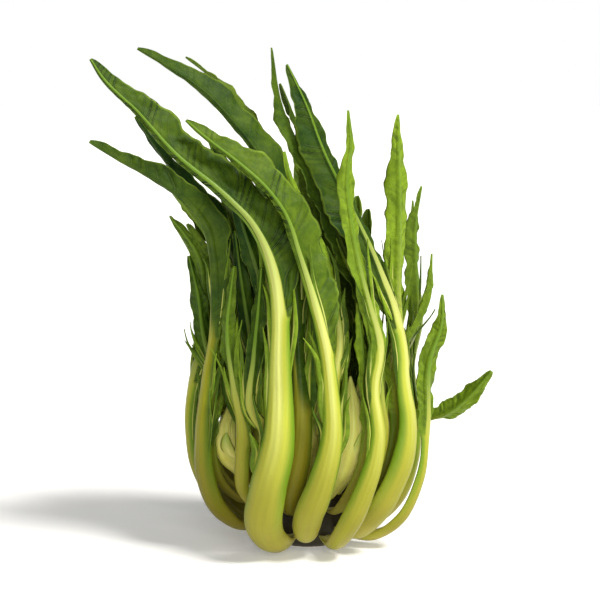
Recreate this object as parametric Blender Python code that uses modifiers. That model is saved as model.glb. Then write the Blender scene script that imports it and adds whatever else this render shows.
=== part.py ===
"""A whole head of puntarelle, the catalogna chicory with fat hollow shoots at its heart.

The head stands on its cut stump, as it does on a table after trimming. Fat leaf stalks in three
rings belly out from the stump and close over a cluster of shoots, and each stalk ends in a
narrow toothed blade. Most of the tall blades lean to the left.

The origin is on the surface that the head stands on, at the centre of the stump's cut face.
+Z is up, -Y is the front and azimuths run from +X through +Y, so the front is at 270 degrees.
Lengths are written in millimetres and turned into metres when a mesh is made.
"""

import math

import bmesh
import bpy
import numpy as np

MM = 0.001

# Stump, whose profile is distance from the axis and height; its pieces keep a small gap to it
STUMP_PROFILE = ((28.0, 0.0), (36.0, 5.0), (40.5, 14.0), (41.5, 24.0), (40.0, 34.0), (35.0, 45.0),
                 (20.0, 54.0))
STUMP_TOP = 57.0
STUMP_SIDES = 26
JOINT_GAP = 0.3
PATH_GAP = 15.0

# Blades at the back, as shares of the distance from the axis
NECK = 0.12
FLARE = 0.16

# Feet of the stalks, as distance from the axis and height, from inside the stump up to the belly.
# The feet turn about the axis on their way down to the stump.
OUTER_FOOT = ((34.0, 17.0), (61.0, 17.0), (84.0, 36.0), (100.0, 72.0), (104.0, 110.0), (99.0, 150.0))
LOW_FOOT = ((34.0, 12.0), (62.0, 9.6), (88.0, 27.0), (103.0, 64.0), (106.0, 108.0), (99.0, 150.0))
MIDDLE_FOOT = ((32.0, 35.0), (58.0, 38.0), (76.0, 54.0), (86.0, 84.0), (88.0, 112.0), (85.0, 150.0))
INNER_FOOT = ((26.0, 41.0), (46.0, 47.5), (64.0, 70.0), (71.0, 108.0), (69.0, 150.0))
LOW_AZIMUTHS = (256, 304, 348, 79, 161)
SWIRL = -13.0
SWIRL_BOTTOM = 15.0
SWIRL_TOP = 110.0

# Sections of a leaf
STATIONS = 15
FINE_STATIONS = 2 * STATIONS - 1
RIB_DISTANCE = (0.0, 10.0, 28.0, 48.0, 75.0, 119.0, 150.0, 190.0, 240.0, 330.0, 460.0)
RIB_HALF_WIDTH = (8.0, 9.4, 13.8, 17.4, 18.6, 15.4, 12.0, 9.4, 7.0, 4.0, 1.8)
RIB_THICKNESS = 0.46
STALK_HOLLOW = 0.30
STALK_CORNER = 0.62
FACE_PROFILE = (0.30, 0.82, 1.0, 0.82, 0.30)
FOLD = {"outer": 26.0, "middle": 36.0, "inner": 38.0}
BLADE_SPAN = {"outer": (0.40, 0.60), "middle": (0.18, 0.38), "inner": (0.14, 0.34)}
BLADE_TAPER = 0.22
BLADE_TIP_POWER = 0.55
BLADE_HALF_THICKNESS = 0.5
TIP_HALF_WIDTH = 1.2
TIP_SLOPE = 0.035
TOOTH = 0.14
RUFFLE = 2.6
TWIST_START = 0.40
TWIST_END = 0.80

# Shoots: sides of the section, half width along the length and the small leaves on it
SHOOT_SIDES = 8
SHOOT_STEPS = 25
SHOOT_ROOT = 0.58
SHOOT_ROOT_HEIGHT = 49.0
SHOOT_PROFILE = ((0.0, 0.45), (0.14, 0.60), (0.30, 0.90), (0.45, 1.0), (0.60, 0.92),
                 (0.73, 0.70), (0.84, 0.44), (0.93, 0.24), (1.0, 0.06))

# Clearing the leaves of one another
CLEARING_ROUNDS = 100
CLEARANCE = 1.8
HELD_DISTANCE = 70.0
FREE_DISTANCE = 170.0
NEAR_BOX = 30.0
SAME_HEIGHT = 12.0
MOVE_SHARE = 0.8
BLADE_MIDDLE_LOSS = 0.35
STALK_EDGE_SHARE = 0.6
SHOOT_LIFT = 0.2


def smooth_step(value):
    """Zero below 0, one above 1 and a smooth rise between."""
    value = np.clip(value, 0.0, 1.0)
    return value * value * (3.0 - 2.0 * value)


def unit(vectors):
    """Vectors along the last axis, scaled to length one."""
    return vectors / np.maximum(np.linalg.norm(vectors, axis=-1, keepdims=True), 1e-9)


def curve_through(points, count):
    """A smooth curve through the points, as count points at even distances along it."""
    points = np.array(points, float)
    place = np.concatenate(([0.0], np.cumsum(np.linalg.norm(np.diff(points, axis=0), axis=1))))
    slope = np.gradient(points, place, axis=0)
    fine = np.linspace(0.0, place[-1], 40 * len(points))
    left = np.clip(np.searchsorted(place, fine, side="right") - 1, 0, len(points) - 2)
    span = (place[left + 1] - place[left])[:, None]
    t = (fine - place[left])[:, None] / span
    curve = ((2 * t**3 - 3 * t**2 + 1) * points[left] + (t**3 - 2 * t**2 + t) * span * slope[left]
             + (3 * t**2 - 2 * t**3) * points[left + 1] + (t**3 - t**2) * span * slope[left + 1])
    along = np.concatenate(([0.0], np.cumsum(np.linalg.norm(np.diff(curve, axis=0), axis=1))))
    even = np.linspace(0.0, along[-1], count)
    return np.stack([np.interp(even, along, curve[:, axis]) for axis in range(3)], axis=1)


def ring_point(azimuth, radius, height):
    """The point at an azimuth, a distance from the axis and a height, with the swirl of the feet."""
    rise = smooth_step((height - SWIRL_BOTTOM) / (SWIRL_TOP - SWIRL_BOTTOM))
    angle = math.radians(azimuth + SWIRL * (1.0 - rise))
    return (radius * math.cos(angle), radius * math.sin(angle), height)


class Leaf:
    """One leaf: its stalk's place in the head, the path of its blade and its size."""

    def __init__(self, kind, number, azimuth, foot, path, blade, lopsided, size, twist):
        self.kind = kind
        self.name = f"{kind}_leaf_{number:02d}"
        self.azimuth = azimuth
        self.blade = blade
        self.lopsided = lopsided
        self.size = size
        self.twist = math.radians(twist)
        self.fold = math.radians(FOLD[kind])
        stalk = [ring_point(azimuth, radius, height) for radius, height in foot
                 if height < path[0][2] - PATH_GAP]
        self.points = curve_through(stalk + list(path), FINE_STATIONS)


def leaning_path(azimuth, radius, height, lean):
    """A blade's path by rule: up from the belly, in at the neck, then outwards and to the left."""
    path = []
    for step in (0.3, 0.65, 1.0):
        spread = radius * (1.0 - NECK * math.sin(math.pi * step) + FLARE * step * step)
        x, y, z = ring_point(azimuth, spread, 150.0 + (height - 150.0) * step)
        path.append((x - lean * step * step, y, z))
    return path


# Leaves whose blades are followed from the photograph, then the leaves at the back by rule.
# Each has its azimuth, the blade's path, its half width, how much wider its right half is than
# its left, the stalk's size and the twist; a leaf by rule adds radius, height and lean.
OUTER_LEAVES = (
    (188, ((-87, -14, 186), (-89, -18, 228), (-93, -22, 252), (-103, -24, 270), (-116, -24, 286)),
     11, 0.0, 0.72, 80),
    (210, ((-80, -48, 190), (-79, -47, 228), (-80, -45, 259), (-86, -42, 282), (-100, -38, 301),
           (-124, -34, 319), (-154, -30, 335), (-186, -26, 353)), 10, 0.6, 0.76, 45),
    (256, ((-24, -94, 175), (-24, -88, 215), (-30, -81, 254), (-44, -77, 285), (-70, -73, 312),
           (-108, -69, 343), (-145, -65, 383), (-167, -62, 403), (-180, -60, 422)), 16, 0.7, 1.12, 20),
    (281, ((14, -92, 188), (2, -86, 235), (-6, -82, 260), (-19, -78, 297), (-33, -75, 316),
           (-58, -72, 338), (-87, -70, 360), (-101, -68, 372)), 15, 0.7, 0.70, 0),
    (304, ((60, -76, 184), (50, -74, 222), (42, -72, 254), (35, -70, 292), (32, -67, 325),
           (35, -65, 352), (33, -63, 380)), 9, 0.0, 0.60, 0),
    (326, ((80, -50, 184), (74, -47, 210), (63, -44, 240), (50, -41, 270), (37, -38, 296),
           (27, -36, 316), (14, -34, 342), (-2, -32, 384), (-18, -30, 418)), 17, -0.25, 0.82, -20),
    (348, ((106, -17, 165), (116, -13, 194), (117, -9, 220)), 10, 0.0, 1.12, -55),
    (22, ((98, 26, 190), (94, 20, 250), (92, 16, 300)), 12, 0.0, 0.85, -50),
    (52, None, 15, 0.0, 0.9, 0, 92, 300, 20),
    (79, None, 16, 0.0, 0.95, 0, 92, 330, 30),
    (106, None, 16, 0.0, 0.95, 0, 92, 320, 40),
    (134, None, 15, 0.0, 0.92, 0, 92, 310, 35),
    (161, None, 14, 0.0, 0.9, 20, 92, 285, 22),
)
MIDDLE_LEAVES = (
    (200, ((-90, -27, 186), (-95, -31, 225), (-102, -33, 256)), 9, 0.0, 0.5, 70),
    (266, ((-8, -76, 184), (-10, -70, 234), (-20, -64, 290), (-39, -59, 340), (-62, -56, 370),
           (-87, -54, 396), (-115, -52, 415), (-142, -50, 431)), 14, 0.7, 0.6, 10),
    (284, ((26, -68, 190), (20, -69, 225), (13, -69, 258), (4, -67, 280), (-8, -66, 305),
           (-17, -65, 330), (-20, -64, 346)), 6, 0.0, 0.42, 0),
    (306, ((50, -69, 150), (46, -69, 185), (41, -68, 220)), 6, 0.0, 0.38, 0),
    (332, ((79, -30, 186), (77, -28, 230), (77, -30, 272), (77, -32, 312), (76, -34, 348),
           (76, -34, 376)), 13, 0.0, 0.62, -40),
    (3, ((101, 6, 104), (122, -4, 114), (139, -16, 130), (158, -30, 156)), 11, 0.0, 0.5, -85),
    (19, ((94, 8, 190), (94, -1, 240), (93, -6, 280), (98, -8, 314)), 12, 0.0, 0.6, -60),
    (38, None, 16, 0.0, 0.6, 0, 76, 290, 15),
    (65, None, 17, 0.0, 0.62, 0, 74, 340, 35),
    (92, None, 17, 0.0, 0.62, 0, 74, 350, 45),
    (120, None, 17, 0.0, 0.62, 0, 74, 335, 50),
    (148, None, 16, 0.0, 0.6, 0, 76, 310, 50),
    (175, None, 15, 0.0, 0.58, 30, 78, 280, 16),
    (231, ((-62, -63, 150), (-68, -60, 190), (-65, -60, 225), (-62, -60, 250)), 8, 0.0, 0.4, 20),
    (246, ((-48, -74, 130), (-46, -73, 175), (-42, -70, 215), (-39, -68, 250)), 8, 0.0, 0.4, 10),
    (317, ((61, -63, 130), (58, -62, 170), (54, -62, 205), (52, -60, 232)), 7, 0.0, 0.36, 0),
)
INNER_LEAVES = (
    (216, ((-52, -31, 200), (-62, -22, 248), (-84, -17, 292), (-116, -14, 328), (-132, -14, 350),
           (-148, -14, 374)), 11, 0.0, 0.45, 20),
    (258, ((-30, -64, 200), (-44, -60, 250), (-55, -57, 285), (-62, -54, 312), (-70, -50, 335),
           (-80, -46, 350)), 11, 0.0, 0.5, 0),
    (343, ((56, -22, 200), (38, -26, 250), (16, -28, 300), (-4, -28, 345), (-22, -28, 385),
           (-31, -28, 432)), 12, 0.0, 0.5, 0),
    (0, ((90, -12, 190), (103, -14, 215), (107, -14, 256)), 6, 0.0, 0.4, -40),
    (14, ((58, 4, 200), (44, -4, 250), (20, -8, 300), (-2, -10, 345), (-24, -10, 402)),
     12, 0.0, 0.5, 0),
    (35, None, 13, 0.0, 0.5, 0, 60, 320, 25),
    (65, None, 13, 0.0, 0.5, 0, 58, 350, 40),
    (95, None, 13, 0.0, 0.5, 0, 58, 330, 45),
    (125, None, 13, 0.0, 0.5, 0, 58, 350, 50),
    (155, None, 13, 0.0, 0.5, 0, 58, 310, 50),
    (232, ((-50, -48, 190), (-57, -45, 235), (-62, -42, 278)), 9, 0.0, 0.38, 30),
    (172, ((-48, -7, 205), (-34, -20, 262), (-29, -27, 309), (-44, -28, 354), (-58, -26, 380),
           (-77, -24, 403), (-104, -22, 424)), 12, 0.0, 0.5, 0),
)

# Shoots: azimuth, distance from the axis at mid height, height of the tip and half width
SHOOTS = (
    (195, 72, 128, 12.5), (302, 70, 156, 14), (326, 56, 134, 12),
    (0, 46, 140, 13), (40, 46, 132, 13), (80, 46, 142, 13),
    (120, 46, 134, 13), (160, 46, 140, 13), (226, 44, 146, 12), (264, 38, 150, 10),
    (30, 15, 160, 10), (150, 15, 152, 10), (270, 14, 164, 9),
)
BRACTS_PER_SHOOT = 3
BRACT_TURN = 137.5
BRACT_FIRST = 0.34
BRACT_STEP = 0.14
BRACT_SPAN = 0.30
BRACT_STAND = 1.4
BRACT_PROFILE = ((0.0, 0.8), (0.5, 1.0), (1.0, 0.15))
BRACT_HALF_WIDTH = 4.6
BRACT_HALF_THICKNESS = 0.9


def all_leaves():
    """Every leaf of the head, ring by ring, with its path by rule where its row gives none."""
    leaves = []
    for kind, foot, rows in (("outer", OUTER_FOOT, OUTER_LEAVES), ("middle", MIDDLE_FOOT, MIDDLE_LEAVES),
                             ("inner", INNER_FOOT, INNER_LEAVES)):
        for number, (azimuth, path, blade, lopsided, size, twist, *rule) in enumerate(rows, 1):
            stand = LOW_FOOT if kind == "outer" and azimuth in LOW_AZIMUTHS else foot
            path = path or leaning_path(azimuth, *rule)
            leaves.append(Leaf(kind, number, azimuth, stand, path, blade, lopsided, size, twist))
    return leaves


def frames(points, azimuths, twists):
    """Along, side and outward directions: the side carried up each leaf without spin, then twisted."""
    along = unit(np.gradient(points, axis=1))
    side = np.empty_like(points)
    carried = np.stack([-np.sin(azimuths), np.cos(azimuths), np.zeros_like(azimuths)], axis=1)
    for station in range(points.shape[1]):
        forward = along[:, station]
        carried = unit(carried - (carried * forward).sum(axis=1, keepdims=True) * forward)
        side[:, station] = carried
    outward = np.cross(side, along)
    share = np.linspace(0.0, 1.0, points.shape[1])
    angle = twists[:, None] * smooth_step((share - TWIST_START) / (TWIST_END - TWIST_START))
    side = side * np.cos(angle)[..., None] - outward * np.sin(angle)[..., None]
    return along, side, np.cross(side, along)


def widths(share, distance, leaf):
    """Half width of the rib, then of the leaf's left and right halves in two columns."""
    start, full = BLADE_SPAN[leaf.kind]
    room = TIP_HALF_WIDTH + (1.0 - share) * distance[-1] * TIP_SLOPE
    rib = np.minimum(np.interp(distance, RIB_DISTANCE, RIB_HALF_WIDTH) * leaf.size, room)
    rise = smooth_step((share - start) / (full - start))
    fall = np.clip((1.0 - share) / BLADE_TAPER, 0.0, 1.0) ** BLADE_TIP_POWER
    teeth = 1.0 + TOOTH * np.cos(math.pi * (STATIONS - 1) * share)
    wide = (leaf.blade * rise * fall * teeth)[:, None] * (1.0 - leaf.lopsided, 1.0 + leaf.lopsided)
    return rib, np.maximum(rib[:, None], wide)


def leaf_rings(points, side, outward, leaf, share):
    """Rings of ten corners: five across the outer face, then five back across the inner one."""
    steps = np.linalg.norm(np.diff(points, axis=0), axis=1)
    distance = np.concatenate(([0.0], np.cumsum(steps)))
    rib, halves = widths(share, distance, leaf)
    halves = np.stack((halves[:, 0], halves[:, 0], halves.mean(axis=1), halves[:, 1], halves[:, 1]), axis=1)
    flats = 1.0 - rib[:, None] / halves
    wave = RUFFLE * np.cos(0.5 * math.pi * (STATIONS - 1) * share)
    outer = []
    inner = []
    for column, place in enumerate((-1, -STALK_CORNER, 0, STALK_CORNER, 1)):
        half = halves[:, column]
        flat = flats[:, column]
        height = FACE_PROFILE[column]
        on_rib = place * (1.0 - flat) + np.sign(place) * flat * rib / half
        across = on_rib if abs(place) < 1 else place * np.ones_like(share)
        reach = half * across * (1.0 - flat * (1.0 - math.cos(leaf.fold)))
        fold_sink = flat * np.abs(across) * math.sin(leaf.fold)
        sink = half * (STALK_HOLLOW * (1.0 - flat) * across**2 + fold_sink)
        lift = wave * flat * across**3 - sink
        centre = points + side * reach[:, None] + outward * lift[:, None]
        rib_rise = rib * RIB_THICKNESS * height
        thin = BLADE_HALF_THICKNESS + rib_rise * (place == 0)
        front = rib_rise * (1.0 - flat) + thin * flat
        back = rib_rise * (1.0 - flat) + BLADE_HALF_THICKNESS * flat
        outer.append(centre + outward * front[:, None])
        inner.append(centre - outward * back[:, None])
    return np.stack(outer + inner[::-1], axis=1)


def mesh_from(name, vertices, faces):
    """A mesh from points in millimetres."""
    mesh = bpy.data.meshes.new(name)
    mesh.from_pydata([tuple(point) for point in np.asarray(vertices) * MM], [], faces)
    mesh.update()
    return mesh


def leaf_mesh(name, rings):
    """The closed skin over the rings, split into triangles alike on the outer and inner faces."""
    count, around = rings.shape[:2]
    faces = []
    for ring in range(count - 1):
        for corner in range(around):
            a = ring * around + corner
            b = ring * around + (corner + 1) % around
            c = b + around
            d = a + around
            if corner < around // 2:
                faces += [(a, b, c), (a, c, d)]
            else:
                faces += [(a, b, d), (b, c, d)]
    last = (count - 1) * around
    for corner in range(around // 2 - 1):
        opposite = around - 1 - corner
        faces.append((corner + 1, corner, opposite, opposite - 1))
        faces.append((last + corner, last + corner + 1, last + opposite - 1, last + opposite))
    return mesh_from(name, rings.reshape(-1, 3), faces)


def shoot_swell(half, share):
    """Half width of a shoot at a share of the way along it."""
    return half * np.interp(share, *zip(*SHOOT_PROFILE))


def shoot_axis(azimuth, radius, height):
    """The curved axis of a shoot, from the top of the stump out to its ring and up."""
    points = (ring_point(azimuth, SHOOT_ROOT * radius, SHOOT_ROOT_HEIGHT),
              ring_point(azimuth, 0.84 * radius, 72.0),
              ring_point(azimuth, radius, 0.68 * height), ring_point(azimuth, 0.96 * radius, height))
    return curve_through(points, SHOOT_STEPS)


def clear_leaves(leaves):
    """Push the leaves clear of one another and of the shoots.

    Every leaf is a folded band. A sample point of one leaf that is nearer to another leaf's band
    than both half thicknesses is moved off it, across the band or past its edge, whichever is
    less, and the other leaf is moved the opposite way. The moves are then evened along each
    leaf, and the feet of the stalks hold still.
    """
    points = np.stack([leaf.points for leaf in leaves])
    start = points.copy()
    azimuths = np.radians([leaf.azimuth + SWIRL for leaf in leaves])
    twists = np.array([leaf.twist for leaf in leaves])
    share = np.linspace(0.0, 1.0, FINE_STATIONS)
    across = np.linspace(-1.0, 1.0, 5)
    half_of = (across > 0).astype(int)
    up_shoot = np.linspace(0.0, 1.0, SHOOT_STEPS)
    axes = [(shoot_axis(*row[:3]), 2.0 * BRACT_STAND + shoot_swell(row[3], up_shoot)) for row in SHOOTS]
    distance = np.concatenate((np.zeros((len(leaves), 1)), np.cumsum(
        np.linalg.norm(np.diff(start, axis=1), axis=2), axis=1)), axis=1)
    free = smooth_step((distance - HELD_DISTANCE) / (FREE_DISTANCE - HELD_DISTANCE))
    sized = [widths(share, distance[number], leaf) for number, leaf in enumerate(leaves)]
    rib = np.stack([pair[0] for pair in sized])[..., None]
    half = np.stack([pair[1] for pair in sized])
    flat = 1.0 - rib / half
    fold = np.array([leaf.fold for leaf in leaves])[:, None, None]
    spread = half * (1.0 - flat * (1.0 - np.cos(fold)))
    hollow = half * STALK_HOLLOW * (1.0 - flat)
    crease = half * flat * np.sin(fold)
    sink = hollow[:, :, half_of] * across**2 + crease[:, :, half_of] * np.abs(across)
    middle_share = 1.0 - BLADE_MIDDLE_LOSS * flat.mean(axis=2)
    thick = rib[..., 0] * RIB_THICKNESS * middle_share + BLADE_HALF_THICKNESS
    edge_thick = rib * RIB_THICKNESS * STALK_EDGE_SHARE * (1.0 - flat)
    edge_thick = edge_thick + BLADE_HALF_THICKNESS + RUFFLE * flat
    depth = thick[:, :, None] + (edge_thick[:, :, half_of] - thick[:, :, None]) * np.abs(across)
    for _ in range(CLEARING_ROUNDS):
        along, side, outward = frames(points, azimuths, twists)
        samples = (points[:, :, None] + side[:, :, None] * (spread[:, :, half_of] * across)[..., None]
                   - outward[:, :, None] * sink[..., None])
        move = np.zeros_like(points)
        hits = np.zeros(points.shape[:2])
        for other in range(len(leaves)):
            near = ((samples > points[other].min(axis=0) - NEAR_BOX)
                    & (samples < points[other].max(axis=0) + NEAR_BOX)).all(axis=3)
            near[other] = False
            leaf_index, station_index, across_index = np.nonzero(near)
            offset = samples[near][:, None] - points[other][None]
            nearest = (offset**2).sum(axis=2).argmin(axis=1)
            offset = offset[np.arange(len(nearest)), nearest]
            sideways = (offset * side[other, nearest]).sum(axis=1)
            lengthways = np.abs((offset * along[other, nearest]).sum(axis=1))
            beside = (sideways > 0).astype(int)
            width = spread[other, nearest, beside]
            reach = np.minimum(np.abs(sideways) / width, 1.0)
            outwards = ((offset * outward[other, nearest]).sum(axis=1)
                        + hollow[other, nearest, beside] * reach**2 + crease[other, nearest, beside] * reach)
            own = depth[leaf_index, station_index, across_index]
            edge_there = edge_thick[other, nearest, beside]
            band = thick[other, nearest] * (1.0 - reach) + edge_there * reach
            over = own + band + CLEARANCE - np.abs(outwards)
            past = width + own + CLEARANCE - np.abs(sideways)
            touching = (over > 0) & (past > 0) & (lengthways < SAME_HEIGHT)
            push = np.where((over <= past)[:, None],
                            (np.sign(outwards) * over)[:, None] * outward[other, nearest],
                            (np.sign(sideways) * past)[:, None] * side[other, nearest])
            push = np.where(touching[:, None], push, 0.0)
            np.add.at(move, (leaf_index, station_index), 0.5 * push)
            np.add.at(hits, (leaf_index, station_index), touching)
            np.add.at(move[other], nearest, -0.5 * push)
            np.add.at(hits[other], nearest, touching)
        for axis, radii in axes:
            offset = samples[:, :, :, None] - axis
            gap = np.linalg.norm(offset, axis=4)
            nearest = gap.argmin(axis=3)
            over = radii[nearest] + depth + CLEARANCE - gap.min(axis=3)
            direction = np.take_along_axis(offset, nearest[..., None, None], axis=3)[..., 0, :]
            push = np.where(over > 0, over, 0.0)[..., None] * unit(direction * (1.0, 1.0, SHOOT_LIFT))
            move += push.sum(axis=2)
            hits += (over > 0).sum(axis=2)
        move = move / np.maximum(hits, 1.0)[..., None] * MOVE_SHARE
        total = points + move * free[..., None] - start
        for _ in range(2):
            total[:, 1:-1] = 0.25 * total[:, :-2] + 0.5 * total[:, 1:-1] + 0.25 * total[:, 2:]
        points = start + total
    return points, azimuths, twists


def make_material(name, colour, roughness):
    """A plain vegetable surface."""
    material = bpy.data.materials.new(name)
    material.use_nodes = True
    shader = material.node_tree.nodes["Principled BSDF"]
    shader.inputs["Base Color"].default_value = (*colour, 1.0)
    shader.inputs["Roughness"].default_value = roughness
    shader.inputs["Metallic"].default_value = 0.0
    return material


def add_object(name, mesh, material, collection):
    """An object in the head's collection, with one material."""
    mesh.materials.append(material)
    thing = bpy.data.objects.new(name, mesh)
    collection.objects.link(thing)
    return thing


def build_stump(name, swell, material, collection):
    """The cut stump: a turned body with a flat foot and a domed top, swollen by a gap for the cutter."""
    points = [(0.0, 0.0, STUMP_TOP + swell)]
    for radius, height in reversed(STUMP_PROFILE):
        points.append((radius + swell, 0.0, height + swell * (height > 0)))
    points.append((0.0, 0.0, 0.0))
    mesh = mesh_from(name, points, [])
    edges = bmesh.new()
    edges.from_mesh(mesh)
    edges.verts.ensure_lookup_table()
    for low in range(len(points) - 1):
        edges.edges.new((edges.verts[low], edges.verts[low + 1]))
    edges.to_mesh(mesh)
    edges.free()
    stump = add_object(name, mesh, material, collection)
    turn = stump.modifiers.new("turn", "SCREW")
    turn.steps = STUMP_SIDES
    turn.render_steps = STUMP_SIDES
    turn.use_merge_vertices = True
    turn.merge_threshold = 0.0001
    return stump


def shoot_rings(row):
    """Round rings along a shoot's axis, with blunt ridges up its sides."""
    azimuth, radius, height, half = row
    axis = shoot_axis(azimuth, radius, height)
    place = np.array([step[0] for step in SHOOT_PROFILE])
    swell = np.array([step[1] for step in SHOOT_PROFILE])
    fine = np.linspace(0.0, 1.0, len(axis))
    centre = np.stack([np.interp(place, fine, axis[:, k]) for k in range(3)], axis=1)
    along = unit(np.gradient(centre, axis=0))
    side = unit(np.cross(along, (math.cos(math.radians(azimuth)), math.sin(math.radians(azimuth)), 0.3)))
    other = np.cross(along, side)
    turn = np.arange(SHOOT_SIDES) * 2.0 * math.pi / SHOOT_SIDES
    reach = (half * swell)[:, None]
    return (centre[:, None] + side[:, None] * (reach * np.cos(turn))[..., None]
            + other[:, None] * (reach * np.sin(turn))[..., None])


def shoot_mesh(name, rings):
    """The closed skin over a shoot's rings."""
    count, around = rings.shape[:2]
    faces = []
    for ring in range(count - 1):
        for corner in range(around):
            a = ring * around + corner
            b = ring * around + (corner + 1) % around
            faces.append((a, b, b + around, a + around))
    faces.append(tuple(reversed(range(around))))
    faces.append(tuple(range((count - 1) * around, count * around)))
    return mesh_from(name, rings.reshape(-1, 3), faces)


def bract_mesh(name, row, number):
    """A small pointed leaf that hugs a shoot, as four-cornered rings from its sunk root to its tip."""
    azimuth, radius, height, half = row
    axis = shoot_axis(azimuth, radius, height)
    fine = np.linspace(0.0, 1.0, SHOOT_STEPS)
    start = BRACT_FIRST + BRACT_STEP * number
    place = np.array([step[0] for step in BRACT_PROFILE])
    share = start + BRACT_SPAN * place
    angle = math.radians(azimuth + 180.0 * (number % 2) + BRACT_TURN * (number // 2))
    outward = np.array([math.cos(angle), math.sin(angle), 0.0])
    side = np.array([-math.sin(angle), math.cos(angle), 0.0])
    centre = np.stack([np.interp(share, fine, axis[:, k]) for k in range(3)], axis=1)
    stand = shoot_swell(half, share) + BRACT_STAND * (1.6 * place - 0.6)
    centre = centre + outward * stand[:, None]
    width = BRACT_HALF_WIDTH * np.array([step[1] for step in BRACT_PROFILE])[:, None]
    depth = BRACT_HALF_THICKNESS * np.array([step[1] for step in BRACT_PROFILE])[:, None] ** 0.5
    rings = np.stack([centre + side * width, centre - outward * depth,
                      centre - side * width, centre + outward * depth], axis=1)
    return shoot_mesh(name, rings)


def fuse(thing, pieces):
    """Join the pieces into one body with the thing they grow from, and remove them."""
    group = bpy.data.collections.new("pieces")
    bpy.context.scene.collection.children.link(group)
    for piece in pieces:
        group.objects.link(piece)
    join = thing.modifiers.new("join", "BOOLEAN")
    join.operation = "UNION"
    join.operand_type = "COLLECTION"
    join.collection = group
    join.solver = "MANIFOLD"
    bpy.context.view_layer.update()
    joined = bpy.data.meshes.new_from_object(thing.evaluated_get(bpy.context.evaluated_depsgraph_get()))
    thing.modifiers.clear()
    thing.data = joined
    for piece in pieces:
        bpy.data.objects.remove(piece, do_unlink=True)
    bpy.data.collections.remove(group)


def cut_from(thing, cutter):
    """Trim a piece's root to the stump's skin."""
    trim = thing.modifiers.new("root", "BOOLEAN")
    trim.operation = "DIFFERENCE"
    trim.object = cutter
    trim.solver = "MANIFOLD"


def build_shoots(material, collection, cutter):
    """The cluster of fat shoots at the heart."""
    for number, row in enumerate(SHOOTS, 1):
        name = f"shoot_{number:02d}"
        shoot = add_object(name, shoot_mesh(name, shoot_rings(row)), material, collection)
        meshes = [bract_mesh("bract", row, k) for k in range(BRACTS_PER_SHOOT)]
        fuse(shoot, [bpy.data.objects.new("bract", mesh) for mesh in meshes])
        cut_from(shoot, cutter)


def build_leaves(material, collection, cutter):
    """Every leaf, cleared of its neighbours."""
    leaves = all_leaves()
    points, azimuths, twists = clear_leaves(leaves)
    _, side, outward = frames(points, azimuths, twists)
    share = np.linspace(0.0, 1.0, STATIONS)
    for number, leaf in enumerate(leaves):
        rings = leaf_rings(points[number, ::2], side[number, ::2], outward[number, ::2], leaf, share)
        blade = add_object(leaf.name, leaf_mesh(leaf.name, rings), material, collection)
        cut_from(blade, cutter)


def clear_scene():
    """Remove whatever the scene holds."""
    for thing in list(bpy.data.objects):
        bpy.data.objects.remove(thing, do_unlink=True)


def build():
    """The whole head."""
    clear_scene()
    head = bpy.data.collections.new("puntarelle")
    cutters = bpy.data.collections.new("cutters")
    bpy.context.scene.collection.children.link(head)
    bpy.context.scene.collection.children.link(cutters)
    cream = make_material("stump", (0.72, 0.68, 0.42), 0.5)
    build_stump("stump", 0.0, cream, head)
    cutter = build_stump("stump_cutter", JOINT_GAP, cream, cutters)
    cutter.hide_render = True
    cutter.display_type = "WIRE"
    build_shoots(make_material("shoot", (0.60, 0.68, 0.22), 0.35), head, cutter)
    build_leaves(make_material("leaf", (0.16, 0.30, 0.05), 0.45), head, cutter)


build()
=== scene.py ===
"""A whole head of puntarelle, dressed: waxy pale stalks and shoots, toothed green blades.

Lengths are in millimetres and turned into metres when a mesh is made. +Z is up, -Y is the front
and azimuths run from +X through +Y, so the front of the head is at 270 degrees.
"""

import math

import bpy
import numpy as np
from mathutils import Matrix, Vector


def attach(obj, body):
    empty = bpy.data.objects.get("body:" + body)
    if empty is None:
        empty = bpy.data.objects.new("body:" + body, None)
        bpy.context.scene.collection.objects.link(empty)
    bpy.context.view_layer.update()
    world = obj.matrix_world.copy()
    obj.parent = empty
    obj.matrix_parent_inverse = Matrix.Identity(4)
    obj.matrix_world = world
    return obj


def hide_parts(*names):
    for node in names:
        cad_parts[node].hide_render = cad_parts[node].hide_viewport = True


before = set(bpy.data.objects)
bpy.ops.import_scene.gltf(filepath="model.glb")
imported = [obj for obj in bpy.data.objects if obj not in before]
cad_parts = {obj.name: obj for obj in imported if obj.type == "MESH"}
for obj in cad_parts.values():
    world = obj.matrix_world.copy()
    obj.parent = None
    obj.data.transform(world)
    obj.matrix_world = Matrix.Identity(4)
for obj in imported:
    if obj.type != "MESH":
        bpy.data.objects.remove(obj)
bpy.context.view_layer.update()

# The stump is the short fat stem that everything grows from. It is solid pale tissue, cut
# straight across underneath with a knife, so its foot shows moist flesh that has begun to turn
# brown, with the ring of fibres that feeds the leaves. Its skin is painted near black: painted
# shade of the dark gap under the head.
MM = 0.001
STUMP_PROFILE = ((28.0, 0.0), (36.0, 5.0), (40.5, 14.0), (41.5, 24.0), (40.0, 34.0), (35.0, 45.0),
                 (20.0, 54.0))
STUMP_TOP = 57.0
STUMP_TURNS = 120
STUMP_RINGS = 64
FOOT_RINGS = 18
PORE_SPACING = 2.38
STEM_PATCH = 11.1


def smooth_step(value):
    """Zero below 0, one above 1 and a smooth rise between: 3v^2 - 2v^3."""
    value = np.clip(value, 0.0, 1.0)
    return value * value * (3.0 - 2.0 * value)


def unit(vectors):
    """Vectors along the last axis, divided by their length."""
    return vectors / np.maximum(np.linalg.norm(vectors, axis=-1, keepdims=True), 1e-9)


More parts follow.
